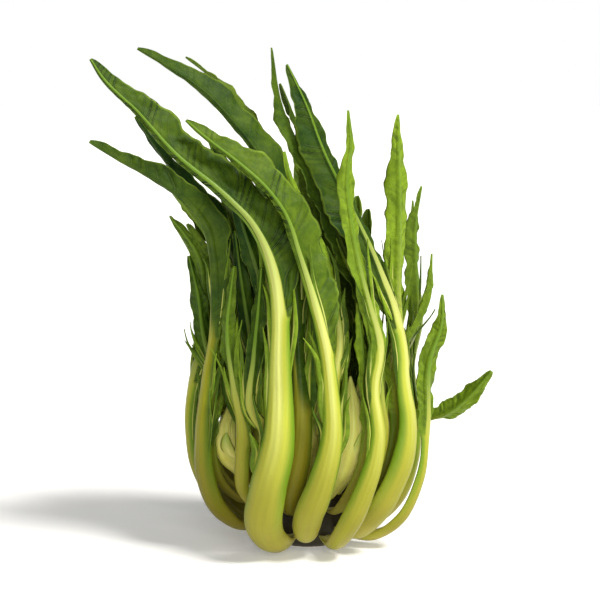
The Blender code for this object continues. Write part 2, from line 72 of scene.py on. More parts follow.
def refined(points, count):
    """A finer run of points: a cubic between each two, with slopes taken from the neighbours."""
    place = np.linspace(0.0, len(points) - 1.0, count)
    left = np.clip(place.astype(int), 0, len(points) - 2)
    t = (place - left)[:, None]
    first = 2.0 * points[:1] - points[1:2]
    last = 2.0 * points[-1:] - points[-2:-1]
    padded = np.concatenate((first, points, last))
    a, b, c, d = (padded[left + step] for step in range(4))
    return 0.5 * (2 * b + (c - a) * t + (2 * a - 5 * b + 4 * c - d) * t**2
                  + (3 * b - a - 3 * c + d) * t**3)


def ring_faces(count, around, start=0):
    """Four-cornered faces between rings of points that run anticlockwise seen from the far end."""
    ring = start + around * np.arange(count - 1)[:, None]
    corner = np.arange(around)[None]
    following = (corner + 1) % around
    faces = np.stack([ring + corner, ring + following, ring + around + following,
                      ring + around + corner], axis=-1).reshape(-1, 4).tolist()
    faces.append(list(range(start + around - 1, start - 1, -1)))
    faces.append(list(range(start + (count - 1) * around, start + count * around)))
    return faces


def make_piece(name, points, faces, material, values=()):
    """A smooth piece from points in millimetres, with a number at each point for its material."""
    mesh = bpy.data.meshes.new(name)
    mesh.from_pydata((points * MM).tolist(), [], faces)
    for label, numbers in dict(values).items():
        layer = mesh.attributes.new(label, "FLOAT", "POINT")
        layer.data.foreach_set("value", np.ascontiguousarray(numbers, dtype=np.float32).ravel())
    mesh.shade_smooth()
    mesh.materials.append(material)
    mesh.update()
    piece = bpy.data.objects.new(name, mesh)
    bpy.context.scene.collection.objects.link(piece)
    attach(piece, "root")
    return piece


def linear(code):
    """An sRGB hex colour as linear red, green and blue, with full alpha."""
    parts = [int(code[place:place + 2], 16) / 255.0 for place in (1, 3, 5)]
    parts = [c / 12.92 if c <= 0.04045 else ((c + 0.055) / 1.055) ** 2.4 for c in parts]
    return (*parts, 1.0)


def set_inputs(node, inputs):
    """Inputs of a node, each a number, a vector, an sRGB code or the output of another node."""
    for name, value in inputs.items():
        if isinstance(value, bpy.types.NodeSocket):
            node.id_data.links.new(value, node.inputs[name])
        else:
            node.inputs[name].default_value = linear(value) if isinstance(value, str) else value


def add_node(material, kind, inputs=(), output=0, **settings):
    """The output of a new shader node, with its inputs in order or by name, and its settings."""
    made = material.node_tree.nodes.new("ShaderNode" + kind)
    for name, value in settings.items():
        setattr(made, name, value)
    set_inputs(made, inputs if isinstance(inputs, dict) else dict(enumerate(inputs)))
    return made.outputs[output]


def new_material(name):
    """An empty material with its shader node."""
    material = bpy.data.materials.new(name)
    material.use_nodes = True
    return material, material.node_tree.nodes["Principled BSDF"]


def stump_material():
    """Cut chicory stem: matt cream flesh with brown pores a few millimetres apart, in a skin
    that is painted shade: near black for the shadow under the head.
    """
    material, shader = new_material("cut_chicory_stem")
    place = add_node(material, "TexCoord", output="Object")
    cut = add_node(material, "Attribute", output="Fac", attribute_name="cut")
    patches = add_node(material, "TexNoise", {
        "Vector": place, "Scale": 1.0 / (STEM_PATCH * MM), "Detail": 4.0, "Roughness": 0.55})
    pores = add_node(material, "TexNoise", {
        "Vector": place, "Scale": 1.0 / (PORE_SPACING * MM), "Detail": 2.0, "Roughness": 0.55})
    # The skin's two near-blacks are painted shade of the gap under the head, not the stem's colour.
    skin = add_node(material, "Mix", {0: patches, 6: "#1d1a0e", 7: "#3a341e"}, 2, data_type="RGBA")
    flesh = add_node(material, "Mix", {0: patches, 6: "#cdbb86", 7: "#e9dfb9"}, 2, data_type="RGBA")
    brown = add_node(material, "MapRange", {"Value": pores, "From Min": 0.55, "From Max": 0.72},
                     interpolation_type="SMOOTHSTEP")
    flesh = add_node(material, "Mix", {0: brown, 6: flesh, 7: "#a98d55"}, 2, data_type="RGBA")
    colour = add_node(material, "Mix", {0: cut, 6: skin, 7: flesh}, 2, data_type="RGBA")
    bump = add_node(material, "Bump", {"Strength": 0.35, "Distance": 0.0006, "Height": pores})
    set_inputs(shader, {"Base Color": colour, "Normal": bump, "Roughness": 0.55, "IOR": 1.4})
    return material


def stump_surface():
    """The turned profile, with its radius swollen by three low waves and fine wrinkles.

    Radius = profile * (1 + waves(turn)) where the waves fade to nothing at the cut foot, so the
    foot stays flat and inside its outline.
    """
    radii = np.array([0.0] + [step[0] for step in STUMP_PROFILE] + [0.0])
    heights = np.array([0.0] + [step[1] for step in STUMP_PROFILE] + [STUMP_TOP])
    body = refined(np.stack([radii, heights], axis=1)[1:], STUMP_RINGS)
    foot = np.linspace(0.02, 1.0, FOOT_RINGS)[:-1, None] * (STUMP_PROFILE[0][0], 0.0)
    outline = np.concatenate((foot, body))
    outline[:, 0] = np.maximum(outline[:, 0], 0.3)
    outline[:, 1] = np.maximum(outline[:, 1], 0.0)
    turn = np.linspace(0.0, 2.0 * math.pi, STUMP_TURNS, endpoint=False)
    wrinkle = (0.012 * np.sin(9.0 * turn + 1.0) + 0.008 * np.sin(23.0 * turn)
               + 0.01 * np.sin(5.0 * turn))
    radius = outline[:, :1] * (1.0 + wrinkle * smooth_step(outline[:, 1:] / 12.0))
    points = np.stack([radius * np.cos(turn), radius * np.sin(turn),
                       outline[:, 1:] * np.ones_like(turn)], axis=-1)
    cut = (outline[:, 1:] < 0.4) * np.ones_like(turn)
    return points.reshape(-1, 3), ring_faces(len(outline), STUMP_TURNS), {"cut": cut}


stump_points, stump_faces, stump_values = stump_surface()
stump = make_piece("stump_flesh", stump_points, stump_faces, stump_material(),
                   stump_values)
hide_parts("stump")

# The shoots at the heart are what puntarelle is grown for: fat hollow flower stems, pale and
# waxy, with blunt ridges and small pointed leaves pressed to them. They grow from the top of
# the stump, each on its own root, and end in a tight point of unopened leaves.
SWIRL = -13.0
SWIRL_BOTTOM = 15.0
SWIRL_TOP = 110.0
SHOOT_STEPS = 25
SHOOT_ROOT = 0.58
SHOOT_ROOT_HEIGHT = 49.0
SHOOT_PROFILE = ((0.0, 0.45), (0.14, 0.60), (0.30, 0.90), (0.45, 1.0), (0.60, 0.92),
                 (0.73, 0.70), (0.84, 0.44), (0.93, 0.24), (1.0, 0.06))
SHOOTS = (
    (195, 72, 128, 12.5), (302, 70, 156, 14), (326, 56, 134, 12),
    (0, 46, 140, 13), (40, 46, 132, 13), (80, 46, 142, 13),
    (120, 46, 134, 13), (160, 46, 140, 13), (226, 44, 146, 12), (264, 38, 150, 10),
    (30, 15, 160, 10), (150, 15, 152, 10), (270, 14, 164, 9),
)
SHOOT_RIDGE = 0.055
SHOOT_BUMP = 0.08
SHOOT_FIBRE = 1.11
SHOOT_PATCH = 14.3
BRACTS_PER_SHOOT = 3
BRACT_TURN = 137.5
BRACT_FIRST = 0.34
BRACT_STEP = 0.14
BRACT_SPAN = 0.30
BRACT_STAND = 1.4
BRACT_TIP_STAND = 3.6
BRACT_SIDE_TURN = 78.0
BRACT_HALF_WIDTH = 7.2
BRACT_HALF_THICKNESS = 0.45
SHOOT_TURNS = 40
SHOOT_RINGS = 72
SHOOT_RIDGES = 7
BRACT_RINGS = 26
BRACT_COLUMNS = 9
LEAVES_BETWEEN = 2


def curve_through(points, count):
    """A smooth curve through the points, as count points at even distances along it."""
    points = np.array(points, float)
    place = np.concatenate(([0.0], np.cumsum(np.linalg.norm(np.diff(points, axis=0), axis=1))))
    slope = np.gradient(points, place, axis=0)
    fine = np.linspace(0.0, place[-1], 40 * len(points))
    left = np.clip(np.searchsorted(place, fine, side="right") - 1, 0, len(points) - 2)
    span = (place[left + 1] - place[left])[:, None]
    t = (fine - place[left])[:, None] / span
    curve = ((2 * t**3 - 3 * t**2 + 1) * points[left] + (t**3 - 2 * t**2 + t) * span * slope[left]
             + (3 * t**2 - 2 * t**3) * points[left + 1] + (t**3 - t**2) * span * slope[left + 1])
    along = np.concatenate(([0.0], np.cumsum(np.linalg.norm(np.diff(curve, axis=0), axis=1))))
    even = np.linspace(0.0, along[-1], count)
    return np.stack([np.interp(even, along, curve[:, axis]) for axis in range(3)], axis=1)


def ring_point(azimuth, radius, height):
    """The point at an azimuth, distance from the axis and height, with the swirl of the feet."""
    rise = smooth_step((height - SWIRL_BOTTOM) / (SWIRL_TOP - SWIRL_BOTTOM))
    angle = math.radians(azimuth + SWIRL * (1.0 - rise))
    return (radius * math.cos(angle), radius * math.sin(angle), height)


def shoot_swell(half, share):
    """Half width of a shoot at a share of the way along it."""
    return half * np.interp(share, *zip(*SHOOT_PROFILE))


def shoot_axis(azimuth, radius, height):
    """The curved axis of a shoot, from the top of the stump out to its ring and up."""
    points = (ring_point(azimuth, SHOOT_ROOT * radius, SHOOT_ROOT_HEIGHT),
              ring_point(azimuth, 0.84 * radius, 72.0),
              ring_point(azimuth, radius, 0.68 * height),
              ring_point(azimuth, 0.96 * radius, height))
    return curve_through(points, SHOOT_STEPS)


def shoot_stem(row):
    """Rings round the axis: radius = swell(share) * (1 + ridges(turn) + slow bumps)."""
    azimuth, radius, height, half = row
    centre = refined(shoot_axis(azimuth, radius, height), SHOOT_RINGS)
    share = np.linspace(0.0, 1.0, SHOOT_RINGS)
    along = unit(np.gradient(centre, axis=0))
    facing = math.radians(azimuth)
    side = unit(np.cross(along, (math.cos(facing), math.sin(facing), 0.3)))
    other = np.cross(along, side)
    turn = np.linspace(0.0, 2.0 * math.pi, SHOOT_TURNS, endpoint=False)
    swell = shoot_swell(half, np.linspace(0.0, 1.0, SHOOT_STEPS))
    smooth = refined(swell[:, None], SHOOT_RINGS)[:, 0]
    ridges = SHOOT_RIDGE * np.cos(SHOOT_RIDGES * turn + 2.0 * share[:, None] + azimuth)
    bumps = SHOOT_BUMP * np.sin(11.0 * share + azimuth)[:, None] * np.cos(2.0 * turn + azimuth)
    reach = smooth[:, None] * (1.0 + ridges + bumps)
    points = (centre[:, None] + side[:, None] * (reach * np.cos(turn))[..., None]
              + other[:, None] * (reach * np.sin(turn))[..., None])
    tip = share[:, None] * np.ones_like(turn)
    ridge = 0.5 + 0.5 * np.cos(SHOOT_RIDGES * turn + 2.0 * share[:, None] + azimuth)
    return points, {"tip": tip, "ridge": ridge, "leafy": np.zeros_like(tip)}


def bract(row, number):
    """A pointed leaf pressed to the shoot.

    Its half width is W * sin(pi * b^0.62)^0.8 at the share b of its length, it wraps round the
    shoot at its skin, and it stands off by 0.2 + T b^3 millimetres, so its point is free.
    """
    azimuth, radius, height, half = row
    whole = number // LEAVES_BETWEEN
    start = BRACT_FIRST + BRACT_STEP * number / LEAVES_BETWEEN
    angle = math.radians(azimuth + 180.0 * (whole % 2) + BRACT_TURN * (whole // 2)
                         + BRACT_SIDE_TURN * (number % LEAVES_BETWEEN))
    b = np.linspace(0.0, 1.0, BRACT_RINGS)
    share = np.minimum(start + BRACT_SPAN * b, 1.0)
    axis = shoot_axis(azimuth, radius, height)
    fine = np.linspace(0.0, 1.0, SHOOT_STEPS)
    centre = np.stack([np.interp(share, fine, axis[:, k]) for k in range(3)], axis=1)
    skin = np.maximum(shoot_swell(half, share), 2.0)
    half_width = BRACT_HALF_WIDTH * np.maximum(np.sin(math.pi * b**0.62), 0.0) ** 0.8 + 0.15
    a = np.linspace(-1.0, 1.0, BRACT_COLUMNS)
    bend = angle + a * (half_width / (skin + 2.0))[:, None]
    stand = 0.2 + BRACT_TIP_STAND * b[:, None] ** 3 - 0.5 * a**2 * (1.0 - b[:, None])
    fullness = 0.3 + 0.7 * np.sin(math.pi * b) ** 0.5
    thick = BRACT_HALF_THICKNESS * np.sqrt(np.maximum(1.0 - a**4, 0.0)) * fullness[:, None]
    keel = 0.6 * np.exp(-(a / 0.25) ** 2) * (1.0 - b[:, None])
    outward = np.stack([np.cos(bend), np.sin(bend), np.zeros_like(bend)], axis=-1)
    outer = centre[:, None] + outward * (skin[:, None] + stand + thick + keel)[..., None]
    inner = centre[:, None] + outward * (skin[:, None] + stand - thick)[..., None]
    points = np.concatenate((outer, inner[:, -2:0:-1]), axis=1)
    across = np.concatenate((a, a[-2:0:-1]))
    tip = (start + BRACT_SPAN * b)[:, None] * np.ones_like(across)
    leafy = (0.25 + 0.75 * b)[:, None] * np.ones_like(across)
    return points, {"tip": tip, "ridge": np.abs(across) * np.ones_like(tip), "leafy": leafy}


def joined(shells):
    """Closed shells of rings put together in one list of points, faces and values."""
    points = []
    faces = []
    values = {}
    start = 0
    for rings, numbers in shells:
        count, around = rings.shape[:2]
        points.append(rings.reshape(-1, 3))
        faces += ring_faces(count, around, start)
        for label, value in numbers.items():
            values.setdefault(label, []).append(value.ravel())
        start += count * around
    values = {label: np.concatenate(parts) for label, parts in values.items()}
    return np.concatenate(points), faces, values


def shoot_material():
    """Fresh chicory shoot: pale yellow-green wax over juicy flesh, so soft gloss and some glow.

    Ridges are greener than the furrows, fibres run up the shoot about 1 mm apart, and the small
    leaves pass from cream at their foot to leaf green at their point. The pale body is partly the
    shoot's own cream and partly painted light: it is set lighter to stand in for the key light
    that the stalks keep off it.
    """
    material, shader = new_material("waxy_chicory_shoot")
    place = add_node(material, "TexCoord", output="Object")
    stretched = add_node(material, "Mapping", {"Vector": place, "Scale": (1.0, 1.0, 0.08)})
    fibres = add_node(material, "TexNoise", {
        "Vector": stretched, "Scale": 1.0 / (SHOOT_FIBRE * MM), "Detail": 2.0, "Roughness": 0.55})
    patches = add_node(material, "TexNoise", {
        "Vector": place, "Scale": 1.0 / (SHOOT_PATCH * MM), "Detail": 3.0, "Roughness": 0.55})
    # Partly painted light: the pale body is lighter than the shoot's own cream, for the key it lacks.
    pale = add_node(material, "Mix", {0: patches, 6: "#f4ea66", 7: "#fffca4"}, 2, data_type="RGBA")
    green = add_node(material, "Mix", {0: patches, 6: "#7c9c30", 7: "#a9bd45"}, 2, data_type="RGBA")
    ridge = add_node(material, "Attribute", output="Fac", attribute_name="ridge")
    ridge = add_node(material, "Math", (ridge, 0.55), operation="MULTIPLY")
    body = add_node(material, "Mix", {0: ridge, 6: pale, 7: "#ccd448"}, 2, data_type="RGBA")
    leafy = add_node(material, "Attribute", output="Fac", attribute_name="leafy")
    leafy = add_node(material, "MapRange", {
        "Value": leafy, "From Min": 0.35, "From Max": 0.95, "To Max": 0.9},
        interpolation_type="SMOOTHSTEP")
    colour = add_node(material, "Mix", {0: leafy, 6: body, 7: green}, 2, data_type="RGBA")
    top = add_node(material, "Attribute", output="Fac", attribute_name="tip")
    top = add_node(material, "MapRange", {
        "Value": top, "From Min": 0.6, "From Max": 1.0, "To Max": 0.3},
        interpolation_type="SMOOTHSTEP")
    colour = add_node(material, "Mix", {0: top, 6: colour, 7: green}, 2, data_type="RGBA")
    streaks = add_node(material, "Math", (fibres, 0.22), operation="MULTIPLY")
    colour = add_node(material, "Mix", {0: streaks, 6: colour, 7: "#8d9440"}, 2, data_type="RGBA",
                      blend_type="MULTIPLY")
    bump = add_node(material, "Bump", {"Strength": 0.2, "Distance": 0.0004, "Height": fibres})
    set_inputs(shader, {
        "Base Color": colour, "Normal": bump, "Roughness": 0.36, "IOR": 1.42,
        "Subsurface Weight": 0.12, "Subsurface Radius": (1.0, 1.0, 0.3),
        "Subsurface Scale": 0.003})
    return material


shoot_skin = shoot_material()
for number, row in enumerate(SHOOTS, 1):
    leaves_on_it = [bract(row, k) for k in range(LEAVES_BETWEEN * BRACTS_PER_SHOOT)]
    shoot_points, shoot_faces, shoot_values = joined([shoot_stem(row)] + leaves_on_it)
    shoot = make_piece(f"shoot_{number:02d}_skin", shoot_points, shoot_faces, shoot_skin,
                       shoot_values)
    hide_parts(f"shoot_{number:02d}")

# The leaves grow from the stump in three rings. Each is one piece: a fat pale stalk, half-moon
# in section, that bellies out round the shoots and thins to the rib of a long narrow blade. Its
# place comes from its foot on the stump and the path of its blade; then the leaves are pushed
# clear of one another, as they are when they grow packed together.
PATH_GAP = 15.0
NECK = 0.12
FLARE = 0.16
OUTER_FOOT = ((34.0, 17.0), (61.0, 17.0), (84.0, 36.0), (100.0, 72.0), (104.0, 110.0),
              (99.0, 150.0))
LOW_FOOT = ((34.0, 12.0), (62.0, 9.6), (88.0, 27.0), (103.0, 64.0), (106.0, 108.0), (99.0, 150.0))
MIDDLE_FOOT = ((32.0, 35.0), (58.0, 38.0), (76.0, 54.0), (86.0, 84.0), (88.0, 112.0), (85.0, 150.0))
INNER_FOOT = ((26.0, 41.0), (46.0, 47.5), (64.0, 70.0), (71.0, 108.0), (69.0, 150.0))
LOW_AZIMUTHS = (256, 304, 348, 79, 161)
STATIONS = 15
FINE_STATIONS = 2 * STATIONS - 1
RIB_DISTANCE = (0.0, 10.0, 28.0, 48.0, 75.0, 119.0, 150.0, 190.0, 240.0, 330.0, 460.0)
RIB_HALF_WIDTH = (8.0, 9.4, 13.8, 17.4, 18.6, 15.4, 12.0, 9.4, 7.0, 4.0, 1.8)
RIB_THICKNESS = 0.46
STALK_HOLLOW = 0.30
FOLD = {"outer": 26.0, "middle": 36.0, "inner": 38.0}
BLADE_SPAN = {"outer": (0.40, 0.60), "middle": (0.18, 0.38), "inner": (0.14, 0.34)}
BLADE_TAPER = 0.22
BLADE_TIP_POWER = 0.55
BLADE_HALF_THICKNESS = 0.5
TIP_HALF_WIDTH = 1.2
TIP_SLOPE = 0.035
TOOTH = 0.14
RUFFLE = 2.6
TWIST_START = 0.40
TWIST_END = 0.80
CLEARING_ROUNDS = 100
CLEARANCE = 1.8
HELD_DISTANCE = 70.0
FREE_DISTANCE = 170.0
NEAR_BOX = 30.0
SAME_HEIGHT = 12.0
MOVE_SHARE = 0.8
BLADE_MIDDLE_LOSS = 0.35
STALK_EDGE_SHARE = 0.6
SHOOT_LIFT = 0.2

# A row is one leaf. Each has its azimuth, the blade's path, its half width, how much wider its
# right half is than its left, the stalk's size and the twist; a leaf by rule adds radius,
# height and lean.
OUTER_LEAVES = (
    (188, ((-87, -14, 186), (-89, -18, 228), (-93, -22, 252), (-103, -24, 270), (-116, -24, 286)),
     11, 0.0, 0.72, 80),
    (210, ((-80, -48, 190), (-79, -47, 228), (-80, -45, 259), (-86, -42, 282), (-100, -38, 301),
           (-124, -34, 319), (-154, -30, 335), (-186, -26, 353)), 10, 0.6, 0.76, 45),
    (256, ((-24, -94, 175), (-24, -88, 215), (-30, -81, 254), (-44, -77, 285), (-70, -73, 312),
           (-108, -69, 343), (-145, -65, 383), (-167, -62, 403), (-180, -60, 422)), 16, 0.7, 1.12, 20),
    (281, ((14, -92, 188), (2, -86, 235), (-6, -82, 260), (-19, -78, 297), (-33, -75, 316),
           (-58, -72, 338), (-87, -70, 360), (-101, -68, 372)), 15, 0.7, 0.70, 0),
    (304, ((60, -76, 184), (50, -74, 222), (42, -72, 254), (35, -70, 292), (32, -67, 325),
           (35, -65, 352), (33, -63, 380)), 9, 0.0, 0.60, 0),
    (326, ((80, -50, 184), (74, -47, 210), (63, -44, 240), (50, -41, 270), (37, -38, 296),
           (27, -36, 316), (14, -34, 342), (-2, -32, 384), (-18, -30, 418)), 17, -0.25, 0.82, -20),
    (348, ((106, -17, 165), (116, -13, 194), (117, -9, 220)), 10, 0.0, 1.12, -55),
    (22, ((98, 26, 190), (94, 20, 250), (92, 16, 300)), 12, 0.0, 0.85, -50),
    (52, None, 15, 0.0, 0.9, 0, 92, 300, 20),
    (79, None, 16, 0.0, 0.95, 0, 92, 330, 30),
    (106, None, 16, 0.0, 0.95, 0, 92, 320, 40),
    (134, None, 15, 0.0, 0.92, 0, 92, 310, 35),
    (161, None, 14, 0.0, 0.9, 20, 92, 285, 22),
)
MIDDLE_LEAVES = (
    (200, ((-90, -27, 186), (-95, -31, 225), (-102, -33, 256)), 9, 0.0, 0.5, 70),
    (266, ((-8, -76, 184), (-10, -70, 234), (-20, -64, 290), (-39, -59, 340), (-62, -56, 370),
           (-87, -54, 396), (-115, -52, 415), (-142, -50, 431)), 14, 0.7, 0.6, 10),
    (284, ((26, -68, 190), (20, -69, 225), (13, -69, 258), (4, -67, 280), (-8, -66, 305),
           (-17, -65, 330), (-20, -64, 346)), 6, 0.0, 0.42, 0),
    (306, ((50, -69, 150), (46, -69, 185), (41, -68, 220)), 6, 0.0, 0.38, 0),
    (332, ((79, -30, 186), (77, -28, 230), (77, -30, 272), (77, -32, 312), (76, -34, 348),
           (76, -34, 376)), 13, 0.0, 0.62, -40),
    (3, ((101, 6, 104), (122, -4, 114), (139, -16, 130), (158, -30, 156)), 11, 0.0, 0.5, -85),
    (19, ((94, 8, 190), (94, -1, 240), (93, -6, 280), (98, -8, 314)), 12, 0.0, 0.6, -60),
    (38, None, 16, 0.0, 0.6, 0, 76, 290, 15),
    (65, None, 17, 0.0, 0.62, 0, 74, 340, 35),
    (92, None, 17, 0.0, 0.62, 0, 74, 350, 45),
    (120, None, 17, 0.0, 0.62, 0, 74, 335, 50),
    (148, None, 16, 0.0, 0.6, 0, 76, 310, 50),
    (175, None, 15, 0.0, 0.58, 30, 78, 280, 16),
    (231, ((-62, -63, 150), (-68, -60, 190), (-65, -60, 225), (-62, -60, 250)), 8, 0.0, 0.4, 20),
    (246, ((-48, -74, 130), (-46, -73, 175), (-42, -70, 215), (-39, -68, 250)), 8, 0.0, 0.4, 10),
    (317, ((61, -63, 130), (58, -62, 170), (54, -62, 205), (52, -60, 232)), 7, 0.0, 0.36, 0),
)
INNER_LEAVES = (
    (216, ((-52, -31, 200), (-62, -22, 248), (-84, -17, 292), (-116, -14, 328), (-132, -14, 350),
           (-148, -14, 374)), 11, 0.0, 0.45, 20),
    (258, ((-30, -64, 200), (-44, -60, 250), (-55, -57, 285), (-62, -54, 312), (-70, -50, 335),
           (-80, -46, 350)), 11, 0.0, 0.5, 0),
    (343, ((56, -22, 200), (38, -26, 250), (16, -28, 300), (-4, -28, 345), (-22, -28, 385),
           (-31, -28, 432)), 12, 0.0, 0.5, 0),
    (0, ((90, -12, 190), (103, -14, 215), (107, -14, 256)), 6, 0.0, 0.4, -40),
    (14, ((58, 4, 200), (44, -4, 250), (20, -8, 300), (-2, -10, 345), (-24, -10, 402)),
     12, 0.0, 0.5, 0),
    (35, None, 13, 0.0, 0.5, 0, 60, 320, 25),
    (65, None, 13, 0.0, 0.5, 0, 58, 350, 40),
    (95, None, 13, 0.0, 0.5, 0, 58, 330, 45),
    (125, None, 13, 0.0, 0.5, 0, 58, 350, 50),
    (155, None, 13, 0.0, 0.5, 0, 58, 310, 50),
    (232, ((-50, -48, 190), (-57, -45, 235), (-62, -42, 278)), 9, 0.0, 0.38, 30),
    (172, ((-48, -7, 205), (-34, -20, 262), (-29, -27, 309), (-44, -28, 354), (-58, -26, 380),
           (-77, -24, 403), (-104, -22, 424)), 12, 0.0, 0.5, 0),
)


class Leaf:
    """One leaf: its stalk's place in the head, the path of its blade and its size."""

    def __init__(self, kind, number, azimuth, foot, path, blade, lopsided, size, twist):
        self.kind = kind
        self.name = f"{kind}_leaf_{number:02d}"
        self.azimuth = azimuth
        self.blade = blade
        self.lopsided = lopsided
        self.size = size
        self.twist = math.radians(twist)
        self.fold = math.radians(FOLD[kind])
        stalk = [ring_point(azimuth, radius, height) for radius, height in foot
                 if height < path[0][2] - PATH_GAP]
        self.points = curve_through(stalk + list(path), FINE_STATIONS)


def leaning_path(azimuth, radius, height, lean):
    """A blade's path by rule: up from the belly, in at the neck, then outwards and to the left."""
    path = []
    for step in (0.3, 0.65, 1.0):
        spread = radius * (1.0 - NECK * math.sin(math.pi * step) + FLARE * step * step)
        x, y, z = ring_point(azimuth, spread, 150.0 + (height - 150.0) * step)
        path.append((x - lean * step * step, y, z))
    return path


def all_leaves():
    """Every leaf of the head, ring by ring, with its path by rule where its row gives none."""
    leaves = []
    rings = (("outer", OUTER_FOOT, OUTER_LEAVES), ("middle", MIDDLE_FOOT, MIDDLE_LEAVES),
             ("inner", INNER_FOOT, INNER_LEAVES))
    for kind, foot, rows in rings:
        for number, (azimuth, path, blade, lopsided, size, twist, *rule) in enumerate(rows, 1):
            stand = LOW_FOOT if kind == "outer" and azimuth in LOW_AZIMUTHS else foot
            path = path or leaning_path(azimuth, *rule)
            leaves.append(Leaf(kind, number, azimuth, stand, path, blade, lopsided, size, twist))
    return leaves


def frames(points, azimuths, twists):
    """Along, side and outward: the side is carried up each leaf without spin, then twisted."""
    along = unit(np.gradient(points, axis=1))
    side = np.empty_like(points)
    carried = np.stack([-np.sin(azimuths), np.cos(azimuths), np.zeros_like(azimuths)], axis=1)
    for station in range(points.shape[1]):
        forward = along[:, station]
        carried = unit(carried - (carried * forward).sum(axis=1, keepdims=True) * forward)
        side[:, station] = carried
    outward = np.cross(side, along)
    share = np.linspace(0.0, 1.0, points.shape[1])
    angle = twists[:, None] * smooth_step((share - TWIST_START) / (TWIST_END - TWIST_START))
    side = side * np.cos(angle)[..., None] - outward * np.sin(angle)[..., None]
    return along, side, np.cross(side, along)


def outline(share, distance, leaf):
    """Half width of the rib, and of the blade while it is even-sided and its teeth are uncut."""
    start, full = BLADE_SPAN[leaf.kind]
    room = TIP_HALF_WIDTH + (1.0 - share) * distance[-1] * TIP_SLOPE
    rib = np.minimum(np.interp(distance, RIB_DISTANCE, RIB_HALF_WIDTH) * leaf.size, room)
    rise = smooth_step((share - start) / (full - start))
    fall = np.clip((1.0 - share) / BLADE_TAPER, 0.0, 1.0) ** BLADE_TIP_POWER
    return rib, leaf.blade * rise * fall


def widths(share, distance, leaf):
    """Half width of the rib, then of the leaf's left and right halves in two columns."""
    rib, wide = outline(share, distance, leaf)
    teeth = 1.0 + TOOTH * np.cos(math.pi * (STATIONS - 1) * share)
    wide = (wide * teeth)[:, None] * (1.0 - leaf.lopsided, 1.0 + leaf.lopsided)
    return rib, np.maximum(rib[:, None], wide)


